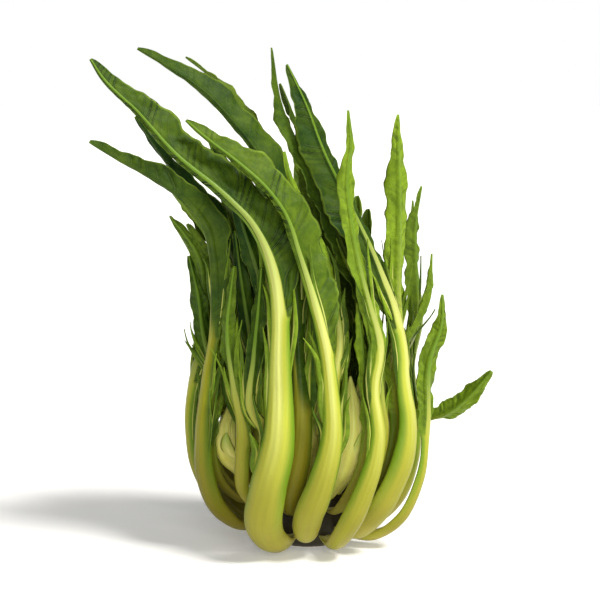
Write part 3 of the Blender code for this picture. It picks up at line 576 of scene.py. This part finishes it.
def clear_leaves(leaves):
    """Push the leaves clear of one another and of the shoots.

    Every leaf is a folded band. A sample point of one leaf that is nearer to another leaf's band
    than both half thicknesses is moved off it, across the band or past its edge, whichever is
    less, and the other leaf is moved the opposite way. The moves are then evened along each
    leaf, and the feet of the stalks hold still.
    """
    points = np.stack([leaf.points for leaf in leaves])
    start = points.copy()
    azimuths = np.radians([leaf.azimuth + SWIRL for leaf in leaves])
    twists = np.array([leaf.twist for leaf in leaves])
    share = np.linspace(0.0, 1.0, FINE_STATIONS)
    across = np.linspace(-1.0, 1.0, 5)
    half_of = (across > 0).astype(int)
    up_shoot = np.linspace(0.0, 1.0, SHOOT_STEPS)
    axes = [(shoot_axis(*row[:3]), 2.0 * BRACT_STAND + shoot_swell(row[3], up_shoot))
            for row in SHOOTS]
    distance = np.concatenate((np.zeros((len(leaves), 1)), np.cumsum(
        np.linalg.norm(np.diff(start, axis=1), axis=2), axis=1)), axis=1)
    free = smooth_step((distance - HELD_DISTANCE) / (FREE_DISTANCE - HELD_DISTANCE))
    sized = [widths(share, distance[number], leaf) for number, leaf in enumerate(leaves)]
    rib = np.stack([pair[0] for pair in sized])[..., None]
    half = np.stack([pair[1] for pair in sized])
    flat = 1.0 - rib / half
    fold = np.array([leaf.fold for leaf in leaves])[:, None, None]
    spread = half * (1.0 - flat * (1.0 - np.cos(fold)))
    hollow = half * STALK_HOLLOW * (1.0 - flat)
    crease = half * flat * np.sin(fold)
    sink = hollow[:, :, half_of] * across**2 + crease[:, :, half_of] * np.abs(across)
    middle_share = 1.0 - BLADE_MIDDLE_LOSS * flat.mean(axis=2)
    thick = rib[..., 0] * RIB_THICKNESS * middle_share + BLADE_HALF_THICKNESS
    edge_thick = rib * RIB_THICKNESS * STALK_EDGE_SHARE * (1.0 - flat)
    edge_thick = edge_thick + BLADE_HALF_THICKNESS + RUFFLE * flat
    depth = thick[:, :, None] + (edge_thick[:, :, half_of] - thick[:, :, None]) * np.abs(across)
    for _ in range(CLEARING_ROUNDS):
        along, side, outward = frames(points, azimuths, twists)
        samples = (points[:, :, None] + side[:, :, None] * (spread[:, :, half_of] * across)[..., None]
                   - outward[:, :, None] * sink[..., None])
        move = np.zeros_like(points)
        hits = np.zeros(points.shape[:2])
        for other in range(len(leaves)):
            near = ((samples > points[other].min(axis=0) - NEAR_BOX)
                    & (samples < points[other].max(axis=0) + NEAR_BOX)).all(axis=3)
            near[other] = False
            leaf_index, station_index, across_index = np.nonzero(near)
            offset = samples[near][:, None] - points[other][None]
            nearest = (offset**2).sum(axis=2).argmin(axis=1)
            offset = offset[np.arange(len(nearest)), nearest]
            sideways = (offset * side[other, nearest]).sum(axis=1)
            lengthways = np.abs((offset * along[other, nearest]).sum(axis=1))
            beside = (sideways > 0).astype(int)
            width = spread[other, nearest, beside]
            reach = np.minimum(np.abs(sideways) / width, 1.0)
            outwards = ((offset * outward[other, nearest]).sum(axis=1)
                        + hollow[other, nearest, beside] * reach**2
                        + crease[other, nearest, beside] * reach)
            own = depth[leaf_index, station_index, across_index]
            edge_there = edge_thick[other, nearest, beside]
            band = thick[other, nearest] * (1.0 - reach) + edge_there * reach
            over = own + band + CLEARANCE - np.abs(outwards)
            past = width + own + CLEARANCE - np.abs(sideways)
            touching = (over > 0) & (past > 0) & (lengthways < SAME_HEIGHT)
            push = np.where((over <= past)[:, None],
                            (np.sign(outwards) * over)[:, None] * outward[other, nearest],
                            (np.sign(sideways) * past)[:, None] * side[other, nearest])
            push = np.where(touching[:, None], push, 0.0)
            np.add.at(move, (leaf_index, station_index), 0.5 * push)
            np.add.at(hits, (leaf_index, station_index), touching)
            np.add.at(move[other], nearest, -0.5 * push)
            np.add.at(hits[other], nearest, touching)
        for axis, radii in axes:
            offset = samples[:, :, :, None] - axis
            gap = np.linalg.norm(offset, axis=4)
            nearest = gap.argmin(axis=3)
            over = radii[nearest] + depth + CLEARANCE - gap.min(axis=3)
            direction = np.take_along_axis(offset, nearest[..., None, None], axis=3)[..., 0, :]
            away = unit(direction * (1.0, 1.0, SHOOT_LIFT))
            push = np.where(over > 0, over, 0.0)[..., None] * away
            move += push.sum(axis=2)
            hits += (over > 0).sum(axis=2)
        move = move / np.maximum(hits, 1.0)[..., None] * MOVE_SHARE
        total = points + move * free[..., None] - start
        for _ in range(2):
            total[:, 1:-1] = 0.25 * total[:, :-2] + 0.5 * total[:, 1:-1] + 0.25 * total[:, 2:]
        points = start + total
    return points, azimuths, twists


leaves = all_leaves()
leaf_paths, leaf_azimuths, leaf_twists = clear_leaves(leaves)

# A leaf's skin, from stalk to tip. The stalk is fleshy and round outside; its rib stands proud
# of the blade's outer face and lies in a shallow groove on the inner one. The blade puffs up
# between its side veins, waves at its edges and has blunt teeth that hook downwards.
DETAIL = {"outer": (221, 31), "middle": (151, 23), "inner": (121, 17)}
RIB_COLUMNS = 0.40
SOFT_JOIN = 1.2
VEIN_SPACING = 8.5
VEIN_SLANT = 0.8
PUFF = 1.9
BUCKLE = 2.0
BUCKLE_SPACING = 31.0
FRILL = 1.5
EDGE_CURL = 0.14
STALK_RIDGE = 0.28
THIN_EDGE = 0.38
LOBES = {"outer": 7, "middle": 9, "inner": 9}
LOBE_LEAF_HEIGHT = 225.0
LOBE_RINGS = 22
LOBE_COLUMNS = 7
LOBE_ZONE = (112.0, 245.0)
LOBE_LIMIT = 0.85
LOBE_LENGTH = (38.0, 88.0)
LOBE_HALF_WIDTH = (1.8, 5.4)
LOBE_SPREAD = (1.5, 10.5)
LOBE_LIFT = 14.0
STALK_COLOUR_LENGTH = 330.0
# The olive stops low on the stalk are partly its own colour and partly painted shade of the base.
STALK_COLOURS = ((0.0, "#cfc68c"), (0.07, "#a39a48"), (0.16, "#8d8630"), (0.30, "#979532"),
                 (0.5, "#b0b442"), (0.75, "#b3bd4e"), (1.0, "#8fa63c"))
STALK_FIBRE = 1.11
STALK_STREAK = 6.25
LEAF_PATCH = 26.3
LEAF_MOTTLE = 6.25
LEAF_GRAIN = 3.125
LEAF_TINGE = 55.6
# How light the blade is, how pale its rib is and how wrinkled it is, each from 0 to 1. The
# lightness is partly the leaf's own green and partly painted light: lower on the head's shaded
# left and higher on its lit right.
LOOKS = {
    "outer_leaf_01": (0.3, 0.6, 0.5), "outer_leaf_02": (0.17, 0.0, 0.35),
    "outer_leaf_03": (0.17, 1.0, 0.9), "outer_leaf_04": (0.26, 1.0, 0.7),
    "outer_leaf_05": (0.62, 0.9, 0.2), "outer_leaf_06": (0.11, 1.0, 0.6),
    "outer_leaf_07": (0.5, 1.0, 0.3), "outer_leaf_08": (0.4, 0.7, 0.3),
    "middle_leaf_01": (0.14, 0.5, 0.4), "middle_leaf_02": (0.13, 0.0, 0.35),
    "middle_leaf_03": (0.7, 0.8, 0.1), "middle_leaf_04": (0.75, 0.9, 0.1),
    "middle_leaf_05": (0.8, 0.5, 0.3), "middle_leaf_06": (0.55, 0.6, 0.4),
    "middle_leaf_07": (0.4, 0.6, 0.3), "middle_leaf_14": (0.3, 0.9, 0.2),
    "middle_leaf_15": (0.12, 0.9, 0.2), "middle_leaf_16": (0.35, 0.9, 0.2),
    "inner_leaf_01": (0.0, 0.2, 0.1), "inner_leaf_02": (0.04, 0.3, 0.3),
    "inner_leaf_03": (0.2, 0.3, 0.4), "inner_leaf_04": (0.5, 0.5, 0.2),
    "inner_leaf_05": (0.18, 0.3, 0.3), "inner_leaf_11": (0.05, 0.5, 0.2),
    "inner_leaf_12": (0.42, 0.3, 0.2),
}


def margin(share, draws):
    """Outline of one edge: blunt teeth that hook towards the foot, each of its own size."""
    turns = 0.5 * (STATIONS - 1) * share + 0.16 * draws[0]
    phase = 2.0 * math.pi * turns
    hooked = np.cos(phase + 0.5 * np.sin(phase) + 0.45 * np.cos(phase) - 0.4)
    size = np.interp(turns, np.arange(9), 0.3 + 1.1 * draws[1:10])
    small = (0.03 * np.sin(2.7 * phase + 6.0 * draws[10])
             + 0.02 * np.sin(6.1 * phase + 6.0 * draws[11]))
    return 1.0 + TOOTH * size * hooked + small


def soft_larger(first, second):
    """The larger of two widths, with the join rounded: (a + b + ((a - b)^2 + k^2)^0.5) / 2."""
    return 0.5 * (first + second + np.sqrt((first - second) ** 2 + SOFT_JOIN**2))


def leaf_surface(leaf, points, azimuth, twist, wrinkle, draws):
    """Rings round the leaf: out across its outer face, back across the inner one.

    With s from -1 to 1 across the leaf, q the rib's share of it and bladed rising from 0 in the
    stalk to 1 in the blade, on each side by itself:
    stalk face = rise * (1 - |s|^2.5)^0.5 + ridges * cos(5 pi s),
    rib face = rise * (1 - (s/q)^2)^0.5,
    sink = half * (hollow * s^2 in the stalk, |s| * sin(fold) - curl * edge^3 in the blade),
    and waves added to both faces alike: the slow ruffle, the frill at the edge, the buckles and
    the puffs between veins.
    """
    count, columns = DETAIL[leaf.kind]
    centre = refined(points, count)
    _, side, outward = frames(centre[None], np.array([azimuth]), np.array([twist]))
    side = side[0][:, None]
    outward = outward[0][:, None]
    share = np.linspace(0.0, 1.0, count)
    steps = np.linalg.norm(np.diff(centre, axis=0), axis=1)
    distance = np.concatenate(([0.0], np.cumsum(steps)))
    rib, wide = outline(share, distance, leaf)
    wide_left = wide * (1.0 - leaf.lopsided)
    wide_right = wide * (1.0 + leaf.lopsided)
    rib = rib[:, None]
    along = distance[:, None]
    c = np.linspace(-1.0, 1.0, columns)
    right = smooth_step(0.5 + 0.5 * c / RIB_COLUMNS)
    plain = (soft_larger(rib, wide_left[:, None]) * (1.0 - right)
             + soft_larger(rib, wide_right[:, None]) * right)
    half = (soft_larger(rib, (wide_left * margin(share, draws[:12]))[:, None]) * (1.0 - right)
            + soft_larger(rib, (wide_right * margin(share, draws[12:24]))[:, None]) * right)
    q = np.minimum(rib / plain, 0.97)
    flat = np.clip(1.0 - rib / plain, 0.0, 1.0)
    bladed = smooth_step((flat - 0.06) / 0.42)
    inside = np.minimum(np.abs(c) / RIB_COLUMNS, 1.0)
    beyond = np.clip((np.abs(c) - RIB_COLUMNS) / (1.0 - RIB_COLUMNS), 0.0, 1.0)
    stalk_s = np.sin(0.5 * math.pi * c)
    blade_s = np.sign(c) * (q * np.sin(0.5 * math.pi * inside) + (1.0 - q) * beyond)
    s = stalk_s * (1.0 - bladed) + blade_s * bladed
    from_rib = np.abs(s)
    half = half + (plain - half) * np.exp(-(from_rib / np.maximum(q, 0.05)) ** 2)
    lumps = (1.0 + 0.07 * np.sin(along / 19.0 + 6.0 * draws[28])
             + 0.05 * np.sin(along / 7.3 + 6.0 * draws[29]))
    rise = rib * RIB_THICKNESS * lumps
    stalk_face = rise * np.sqrt(np.maximum(1.0 - np.abs(stalk_s) ** 2.5, 0.0))
    rib_face = rise * np.sqrt(np.maximum(1.0 - (from_rib / q) ** 2, 0.0))
    thin = THIN_EDGE * np.sqrt(np.maximum(1.0 - np.abs(c) ** 14, 0.0))
    ridges = STALK_RIDGE * np.cos(5.0 * math.pi * s + 0.6 * np.sin(along / 31.0)) * (1.0 - s**2)
    ridges = ridges * smooth_step((along - 40.0) / 60.0) * np.minimum(rib / 10.0, 1.0)
    front = (stalk_face + ridges) * (1.0 - bladed) + (thin + rib_face) * bladed
    hollow = 1.0 - 0.35 * (1.0 - stalk_s**2) ** 2
    back = stalk_face * hollow * (1.0 - bladed) + (thin - 0.22 * rib_face) * bladed
    blade_part = smooth_step((from_rib - q) / (0.35 * (1.0 - q) + 0.02)) * bladed
    to_edge = np.clip((from_rib - q) / np.maximum(1.0 - q, 0.02), 0.0, 1.0)
    curl = EDGE_CURL * (draws[27] - 0.2) * to_edge**3 * bladed
    sink = half * (STALK_HOLLOW * (1.0 - flat) * s**2
                   + flat * from_rib * math.sin(leaf.fold) - curl)
    ruffle = RUFFLE * flat * np.cos(0.5 * math.pi * (STATIONS - 1) * share)[:, None] * s**3
    phase = (along - VEIN_SLANT * from_rib * half) / VEIN_SPACING
    phase = phase + 0.9 * np.sin(along / 27.0 + 6.0 * draws[24])
    phase = phase + 0.5 * np.sin(along / 8.3 + 6.0 * draws[25])
    phase = phase + (0.6 + 0.4 * np.sin(along / 17.0)) * (s > 0.0)
    size = np.interp(phase + 8.0 + 20.0 * (s > 0.0), np.arange(len(draws)), 2.2 * draws**2)
    puff = PUFF * wrinkle * blade_part * size * np.cos(2.0 * math.pi * phase) * (1.0 - to_edge**4)
    slow = along / BUCKLE_SPACING + 0.6 * s + 4.0 * draws[30]
    buckle = BUCKLE * wrinkle * blade_part * (1.0 - to_edge**3) * np.sin(2.0 * math.pi * slow)
    wave = along / (24.0 + 12.0 * draws[25]) + 6.0 * draws[26] + 0.35 * np.sign(s)
    waves = np.sin(2.0 * math.pi * wave) + 0.4 * np.sin(5.1 * math.pi * wave + 1.0)
    frill = FRILL * to_edge**2 * bladed * waves
    tip_fade = smooth_step((1.0 - share) / 0.08)[:, None]
    off = ruffle + (puff + buckle + frill) * tip_fade - sink
    reach = half * s * (1.0 - flat * (1.0 - math.cos(leaf.fold)))
    spine = centre[:, None] + side * reach[..., None]
    outer = spine + outward * (off + front)[..., None]
    inner = spine + outward * (off - back)[..., None]
    rings = np.concatenate((outer, inner[:, -2:0:-1]), axis=1)

    def both(value):
        """A number across one face, repeated for the other."""
        value = value * np.ones((count, columns))
        return np.concatenate((value, value[:, -2:0:-1]), axis=1)

    inner_face = np.concatenate((np.zeros((count, columns)), np.ones((count, columns - 2))), axis=1)
    return rings, {
        "along": both(along), "share": both(share[:, None]), "across": both(s * half),
        "rib": both(from_rib / q), "bladed": both(bladed), "edge": both(to_edge),
        "stalk_edge": both(np.abs(stalk_s)), "vein": both(phase), "inner": inner_face,
        "wrinkle": both(wrinkle * size),
    }


def lobe(leaf, points, azimuth, twist, draws):
    """A slender pointed lobe that leaves the stalk's edge and stands up beside it.

    At the share b of its length its half width is W * sin(pi * (0.06 + 0.94 b)^0.7), it has moved
    away from the stalk by spread * b^1.5 and outwards or inwards by lift * b^2, and it is folded
    along its middle like a gutter.
    """
    count, columns = LOBE_RINGS, LOBE_COLUMNS
    steps = np.linalg.norm(np.diff(points, axis=0), axis=1)
    distance = np.concatenate(([0.0], np.cumsum(steps)))
    _, side, outward = frames(points[None], np.array([azimuth]), np.array([twist]))
    b = np.linspace(0.0, 1.0, count)
    top = min(LOBE_ZONE[1], LOBE_LIMIT * distance[-1] - LOBE_LENGTH[1])
    low = LOBE_ZONE[0] + (top - LOBE_ZONE[0]) * draws[0]
    along = low + (LOBE_LENGTH[0] + (LOBE_LENGTH[1] - LOBE_LENGTH[0]) * draws[1]) * b
    hand = 1.0 if draws[2] > 0.5 else -1.0
    centre, sideways, outwards = (
        np.stack([np.interp(along, distance, track[:, axis]) for axis in range(3)], axis=1)
        for track in (points, side[0], outward[0]))
    sideways = unit(sideways)
    outwards = unit(outwards)
    rib = np.interp(low, RIB_DISTANCE, RIB_HALF_WIDTH) * leaf.size
    spread = LOBE_SPREAD[0] + (LOBE_SPREAD[1] - LOBE_SPREAD[0]) * draws[3]
    lift = LOBE_LIFT * (draws[4] - 0.45)
    bend = 1.8 * np.sin(7.0 * b + 6.0 * draws[5])
    centre = centre + sideways * (hand * (0.8 * rib + spread * b**1.5) + bend * b)[:, None]
    centre = centre + outwards * (lift * b**2 - 0.25 * rib)[:, None]
    broad = LOBE_HALF_WIDTH[0] + (LOBE_HALF_WIDTH[1] - LOBE_HALF_WIDTH[0]) * draws[6]
    half = broad * np.maximum(np.sin(math.pi * (0.06 + 0.94 * b) ** 0.7), 0.0) + 0.12
    forward = unit(np.gradient(centre, axis=0))
    turn = 1.9 * (draws[7] - 0.5) + 0.8 * b * (draws[8] - 0.5)
    across = sideways * np.cos(turn)[:, None] + outwards * np.sin(turn)[:, None]
    across = unit(across - (across * forward).sum(axis=1, keepdims=True) * forward)
    face = np.cross(across, forward)
    a = np.linspace(-1.0, 1.0, columns)
    wobble = 0.12 * a * np.sin(9.0 * b + 6.0 * draws[9])[:, None]
    gutter = half[:, None] * (0.45 * np.abs(a) + wobble)
    thin = 0.34 * np.sqrt(np.maximum(1.0 - a**6, 0.0)) * (1.0 + 0.8 * np.exp(-(a / 0.3) ** 2))
    spine = centre[:, None] + across[:, None] * (half[:, None] * a)[..., None]
    outer = spine + face[:, None] * (thin - gutter)[..., None]
    inner = spine - face[:, None] * (thin + gutter)[..., None]
    rings = np.concatenate((outer, inner[:, -2:0:-1]), axis=1)
    around = np.concatenate((a, a[-2:0:-1]))
    one = np.ones((count, len(around)))
    return rings, {
        "along": along[:, None] * one, "share": b[:, None] * one, "across": around * half[:, None],
        "rib": np.abs(around) * 5.0 * one, "bladed": one, "edge": np.abs(around) * one,
        "stalk_edge": 0.0 * one, "vein": 0.0 * one, "inner": 0.0 * one,
        "light": (0.1 + 0.6 * draws[10]) * one, "pale": 0.8 * one, "wrinkle": 0.0 * one,
    }


def leaf_material():
    """Fresh chicory leaf: a waxy pale stalk and rib, and a satin green blade.

    The stalk runs from cream at its foot through olive low down, partly painted shade of the
    head's base, and straw yellow to yellow-green in the rib, with fibres about 1 mm apart along
    it, green edges that are partly painted shade, and a painted highlight down its middle. The
    blade's green differs from leaf to leaf, partly its own tone and partly painted light, darker
    on the head's shaded left and lighter on its lit right; it is deeper on the inner face, has
    painted shade in the creases between the puffs, and pales at its rim and along its side veins.
    """
    material, shader = new_material("satin_chicory_leaf")
    along, across, bladed, rib, edge, light, pale, wrinkle, grown, inner, stalk_edge, vein_turn = (
        add_node(material, "Attribute", output="Fac", attribute_name=label)
        for label in ("along", "across", "bladed", "rib", "edge", "light", "pale", "wrinkle",
                      "share", "inner", "stalk_edge", "vein"))

    # The fibres follow the stalk's own millimetres, drawn out along it and different on each
    # leaf. The other patterns lie in the head's own space, in metres.
    place = add_node(material, "TexCoord", output="Object")
    drawn_out = add_node(material, "Math", (along, 0.03), operation="MULTIPLY")
    leaf_apart = add_node(material, "Math", (light, 50.0), operation="MULTIPLY")
    on_stalk = add_node(material, "CombineXYZ", (across, drawn_out, leaf_apart))
    fibres, streaks, patches, mottle, fine, tinge = (
        add_node(material, "TexNoise", {
            "Vector": where, "Scale": 1.0 / size, "Detail": detail, "Roughness": rough})
        for where, size, detail, rough in (
            (on_stalk, STALK_FIBRE, 3.0, 0.55), (on_stalk, STALK_STREAK, 2.0, 0.55),
            (place, LEAF_PATCH * MM, 4.0, 0.65), (place, LEAF_MOTTLE * MM, 4.0, 0.7),
            (place, LEAF_GRAIN * MM, 3.0, 0.55), (place, LEAF_TINGE * MM, 1.0, 0.55)))

    # The trough between two puffs is where the wave of the side veins is lowest. The blade is
    #     painted darker there: painted shade in the creases.
    turn = add_node(material, "Math", (vein_turn, 2.0 * math.pi), operation="MULTIPLY")
    wave = add_node(material, "Math", (turn,), operation="COSINE")
    trough = add_node(material, "Math", (wave, -1.0), operation="MULTIPLY")

    # Each share goes smoothly from one figure to another while its value goes from low to high.
    (streaked, up, green_edge, centre_highlight, highlight_up, mottled, bluish, veined, vein_fade, crease, rim,
     greener, slimming, blade_near) = (
        add_node(material, "MapRange", {
            "Value": value, "From Min": low, "From Max": high, "To Min": first, "To Max": last},
            interpolation_type="SMOOTHSTEP")
        for value, low, high, first, last in (
            (streaks, 0.40, 0.70, 0.0, 0.7), (along, 35.0, 130.0, 0.0, 1.0),
            (stalk_edge, 0.55, 1.0, 0.0, 0.85), (stalk_edge, 0.55, 0.1, 0.0, 0.4),
            (along, 100.0, 200.0, 0.0, 1.0), (mottle, 0.42, 0.62, 0.0, 0.3),
            (tinge, 0.45, 0.7, 0.0, 0.15), (trough, 0.86, 0.99, 0.0, 1.0),
            (edge, 0.4, 0.9, 1.0, 0.0), (trough, 0.0, 0.95, 0.0, 0.8),
            (edge, 0.86, 0.99, 0.0, 0.55), (grown, 0.48, 0.78, 0.0, 1.0),
            (grown, 0.42, 0.75, 1.0, 2.0), (bladed, 0.05, 0.45, 0.0, 1.0)))

    # The stalk, from its foot up, under its streaks, green edges that are partly painted shade, a
    #     painted highlight down its middle, and fibres.
    not_bladed = add_node(material, "Math", (1.0, bladed), operation="SUBTRACT")
    not_pale = add_node(material, "Math", (1.0, pale), operation="SUBTRACT")
    # The green edges are partly the blade's real wings and partly painted shade where the stalk turns.
    wing = add_node(material, "Math", (green_edge, up), operation="MULTIPLY")
    wing = add_node(material, "Math", (wing, not_bladed), operation="MULTIPLY")
    # A painted highlight: the middle of the round stalk is made creamier than its own colour.
    centre_highlight = add_node(material, "Math", (centre_highlight, highlight_up), operation="MULTIPLY")
    olive = add_node(material, "Math", (not_pale, 0.75), operation="MULTIPLY")
    fibrous = add_node(material, "Math", (fibres, 0.25), operation="MULTIPLY")
    spot = add_node(material, "Math", (along, STALK_COLOUR_LENGTH), operation="DIVIDE")
    stalk = add_node(material, "ValToRGB", (spot,))
    stops = stalk.node.color_ramp.elements
    for number, (where, code) in enumerate(STALK_COLOURS):
        stop = stops[number] if number < 2 else stops.new(where)
        stop.position = where
        stop.color = linear(code)
    for share, over, blend in (
            (streaked, "#93952a", "MIX"), (wing, "#557f14", "MIX"), (centre_highlight, "#dcdc96", "MIX"),
            (olive, "#b4ae50", "MULTIPLY"), (fibrous, "#9aa04a", "MULTIPLY")):
        stalk = add_node(material, "Mix", {0: share, 6: stalk, 7: over}, 2, data_type="RGBA",
                         blend_type=blend)

    # The blade, under its mottling, bluish tinge, painted shade in its creases, side veins, inner
    #     face and rim.
    patchy = add_node(material, "Math", (patches, 0.5), operation="SUBTRACT")
    patchy = add_node(material, "Math", (patchy, 0.55), operation="MULTIPLY")
    # The leaf's lightness is partly painted light: darker on the shaded left, lighter on the lit
    # right.
    depth = add_node(material, "Math", (light, patchy), operation="ADD", use_clamp=True)
    vein = add_node(material, "Math", (veined, vein_fade), operation="MULTIPLY")
    vein = add_node(material, "Math", (vein, wrinkle), operation="MULTIPLY")
    pale_vein = add_node(material, "Math", (vein, 0.10), operation="MULTIPLY")
    # Painted shade: the creases between the puffs are painted darker.
    crease = add_node(material, "Math", (crease, wrinkle), operation="MULTIPLY", use_clamp=True)
    inward = add_node(material, "Math", (inner, 0.3), operation="MULTIPLY")
    blade = add_node(material, "Mix", {0: depth, 6: "#143004", 7: "#8aa626"}, 2,
                     data_type="RGBA")
    for share, over in ((mottled, "#16330a"), (bluish, "#17430f"), (crease, "#10260a"),
                        (pale_vein, "#a9c155"), (inward, "#0e2105"), (rim, "#86a13a")):
        blade = add_node(material, "Mix", {0: share, 6: blade, 7: over}, 2, data_type="RGBA")

    # The rib greens on its way up, wholly so on a leaf that isn't pale, and slims to the point.
    green_rib = add_node(material, "Math", (not_pale, bladed), operation="MULTIPLY")
    rib_colour = add_node(material, "Mix", {0: greener, 6: stalk, 7: "#5f7d20"}, 2,
                          data_type="RGBA")
    rib_colour = add_node(material, "Mix", {0: green_rib, 6: rib_colour, 7: blade}, 2,
                          data_type="RGBA")
    shown_rib = add_node(material, "Math", (rib, slimming), operation="MULTIPLY")
    on_blade = add_node(material, "MapRange", {
        "Value": shown_rib, "From Min": 0.85, "From Max": 1.12},
        interpolation_type="SMOOTHSTEP")
    on_blade = add_node(material, "Math", (on_blade, up), operation="MULTIPLY")
    on_blade = add_node(material, "Math", (on_blade, blade_near), operation="MULTIPLY")
    colour = add_node(material, "Mix", {0: on_blade, 6: rib_colour, 7: blade}, 2,
                      data_type="RGBA")
    rough = add_node(material, "MapRange", {"Value": on_blade, "To Min": 0.36, "To Max": 0.55})
    height = add_node(material, "Math", (vein, on_blade), operation="MULTIPLY")
    for pattern, share in ((mottle, 0.9), (fine, 0.35), (fibres, 0.4)):
        height = add_node(material, "Math", (pattern, share, height), operation="MULTIPLY_ADD")
    bump = add_node(material, "Bump", {"Strength": 0.5, "Distance": 0.0007, "Height": height})
    set_inputs(shader, {
        "Base Color": colour, "Normal": bump, "Roughness": rough, "IOR": 1.40,
        "Specular IOR Level": 0.15, "Subsurface Weight": 0.10,
        "Subsurface Radius": (0.9, 1.0, 0.25), "Subsurface Scale": 0.0025})
    return material


leaf_skin = leaf_material()
leaf_draw = np.random.default_rng(11)
for number, leaf in enumerate(leaves):
    draws = leaf_draw.random(100)
    light, pale, wrinkle = LOOKS.get(leaf.name, (0.1 + 0.5 * draws[28], 0.3 + 0.6 * draws[29], 0.3))
    rings, values = leaf_surface(leaf, leaf_paths[number], leaf_azimuths[number], leaf_twists[number],
                                 wrinkle, draws)
    for label, value in (("light", light), ("pale", pale)):
        values[label] = np.full(rings.shape[:2], value)
    shells = [(rings, values)]
    roomy = leaf_paths[number][-1, 2] > LOBE_LEAF_HEIGHT
    for _ in range(LOBES[leaf.kind] * roomy):
        shells.append(lobe(leaf, leaf_paths[number], leaf_azimuths[number], leaf_twists[number],
                           leaf_draw.random(11)))
    leaf_points, leaf_faces, leaf_values = joined(shells)
    blade = make_piece(f"{leaf.name}_skin", leaf_points, leaf_faces, leaf_skin, leaf_values)
    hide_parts(leaf.name)

# The studio: a wide sheet of matt white film that glows a little, painted light that keeps its
# shadow pale, a soft key light from the right, a weaker broad one from the front, a dim dome of
# light, and a long lens that looks slightly down.
FLOOR_HALF = 30.0
KEY_AZIMUTH = -32.0
KEY_ELEVATION = 54.0
KEY_SPREAD = 18.0
KEY_STRENGTH = 4.3
FILL_AZIMUTH = -82.0
FILL_ELEVATION = 18.0
FILL_SPREAD = 36.0
FILL_STRENGTH = 1.5
DOME_STRENGTH = 0.22
# The floor's own glow is painted light: it lifts the head's cast shadow on the film.
SHADOW_LIFTING_GLOW = 0.22
CAMERA_TARGET = (-0.007, 0.0, 0.214)
CAMERA_DISTANCE = 1.531
CAMERA_ELEVATION = 7.0
CAMERA_LENS = 105.0


def paper_material():
    """Matt white film that glows a little: painted light that keeps the shadow on it pale."""
    material, shader = new_material("glowing_white_film")
    set_inputs(shader, {"Base Color": "#f1f0ee", "Roughness": 0.9, "Emission Color": "#ffffff",
                        "Emission Strength": SHADOW_LIFTING_GLOW})
    return material


def light_dome():
    """The dome of light: white where the camera sees it, and a dim even glow on the head."""
    world = bpy.data.worlds.new("studio_dome")
    bpy.context.scene.world = world
    world.use_nodes = True
    seen = add_node(world, "LightPath", output="Is Camera Ray")
    strength = add_node(world, "MapRange", {
        "Value": seen, "To Min": DOME_STRENGTH, "To Max": 1.0})
    set_inputs(world.node_tree.nodes["Background"], {"Color": "#ffffff", "Strength": strength})


def add_floor():
    """A flat square of paper just under the stump's cut face."""
    mesh = bpy.data.meshes.new("paper_floor")
    corners = [(x * FLOOR_HALF, y * FLOOR_HALF, -0.0002)
               for x, y in ((-1, -1), (1, -1), (1, 1), (-1, 1))]
    mesh.from_pydata(corners, [], [(0, 1, 2, 3)])
    mesh.materials.append(paper_material())
    floor = bpy.data.objects.new("paper_floor", mesh)
    bpy.context.scene.collection.objects.link(floor)


def direction_to(azimuth, elevation):
    """The unit direction at an azimuth and elevation in degrees."""
    azimuth, elevation = math.radians(azimuth), math.radians(elevation)
    return Vector((math.cos(azimuth) * math.cos(elevation), math.sin(azimuth) * math.cos(elevation),
                   math.sin(elevation)))


def add_light(name, azimuth, elevation, spread, strength):
    """A broad soft lamp, far off."""
    lamp = bpy.data.lights.new(name, "SUN")
    lamp.energy = strength
    lamp.angle = math.radians(spread)
    lamp.color = (1.0, 0.985, 0.95)
    light = bpy.data.objects.new(name, lamp)
    light.rotation_euler = direction_to(azimuth, elevation).to_track_quat("Z", "Y").to_euler()
    bpy.context.scene.collection.objects.link(light)


def add_camera():
    """The camera, level with the top of the heart and looking slightly down."""
    lens = bpy.data.cameras.new("camera")
    lens.lens = CAMERA_LENS
    camera = bpy.data.objects.new("camera", lens)
    back = direction_to(-90.0, CAMERA_ELEVATION)
    camera.location = Vector(CAMERA_TARGET) + back * CAMERA_DISTANCE
    camera.rotation_euler = back.to_track_quat("Z", "Y").to_euler()
    bpy.context.scene.collection.objects.link(camera)
    bpy.context.scene.camera = camera


light_dome()
add_floor()
add_light("key", KEY_AZIMUTH, KEY_ELEVATION, KEY_SPREAD, KEY_STRENGTH)
add_light("fill", FILL_AZIMUTH, FILL_ELEVATION, FILL_SPREAD, FILL_STRENGTH)
add_camera()
bpy.context.scene.view_settings.view_transform = "Standard"
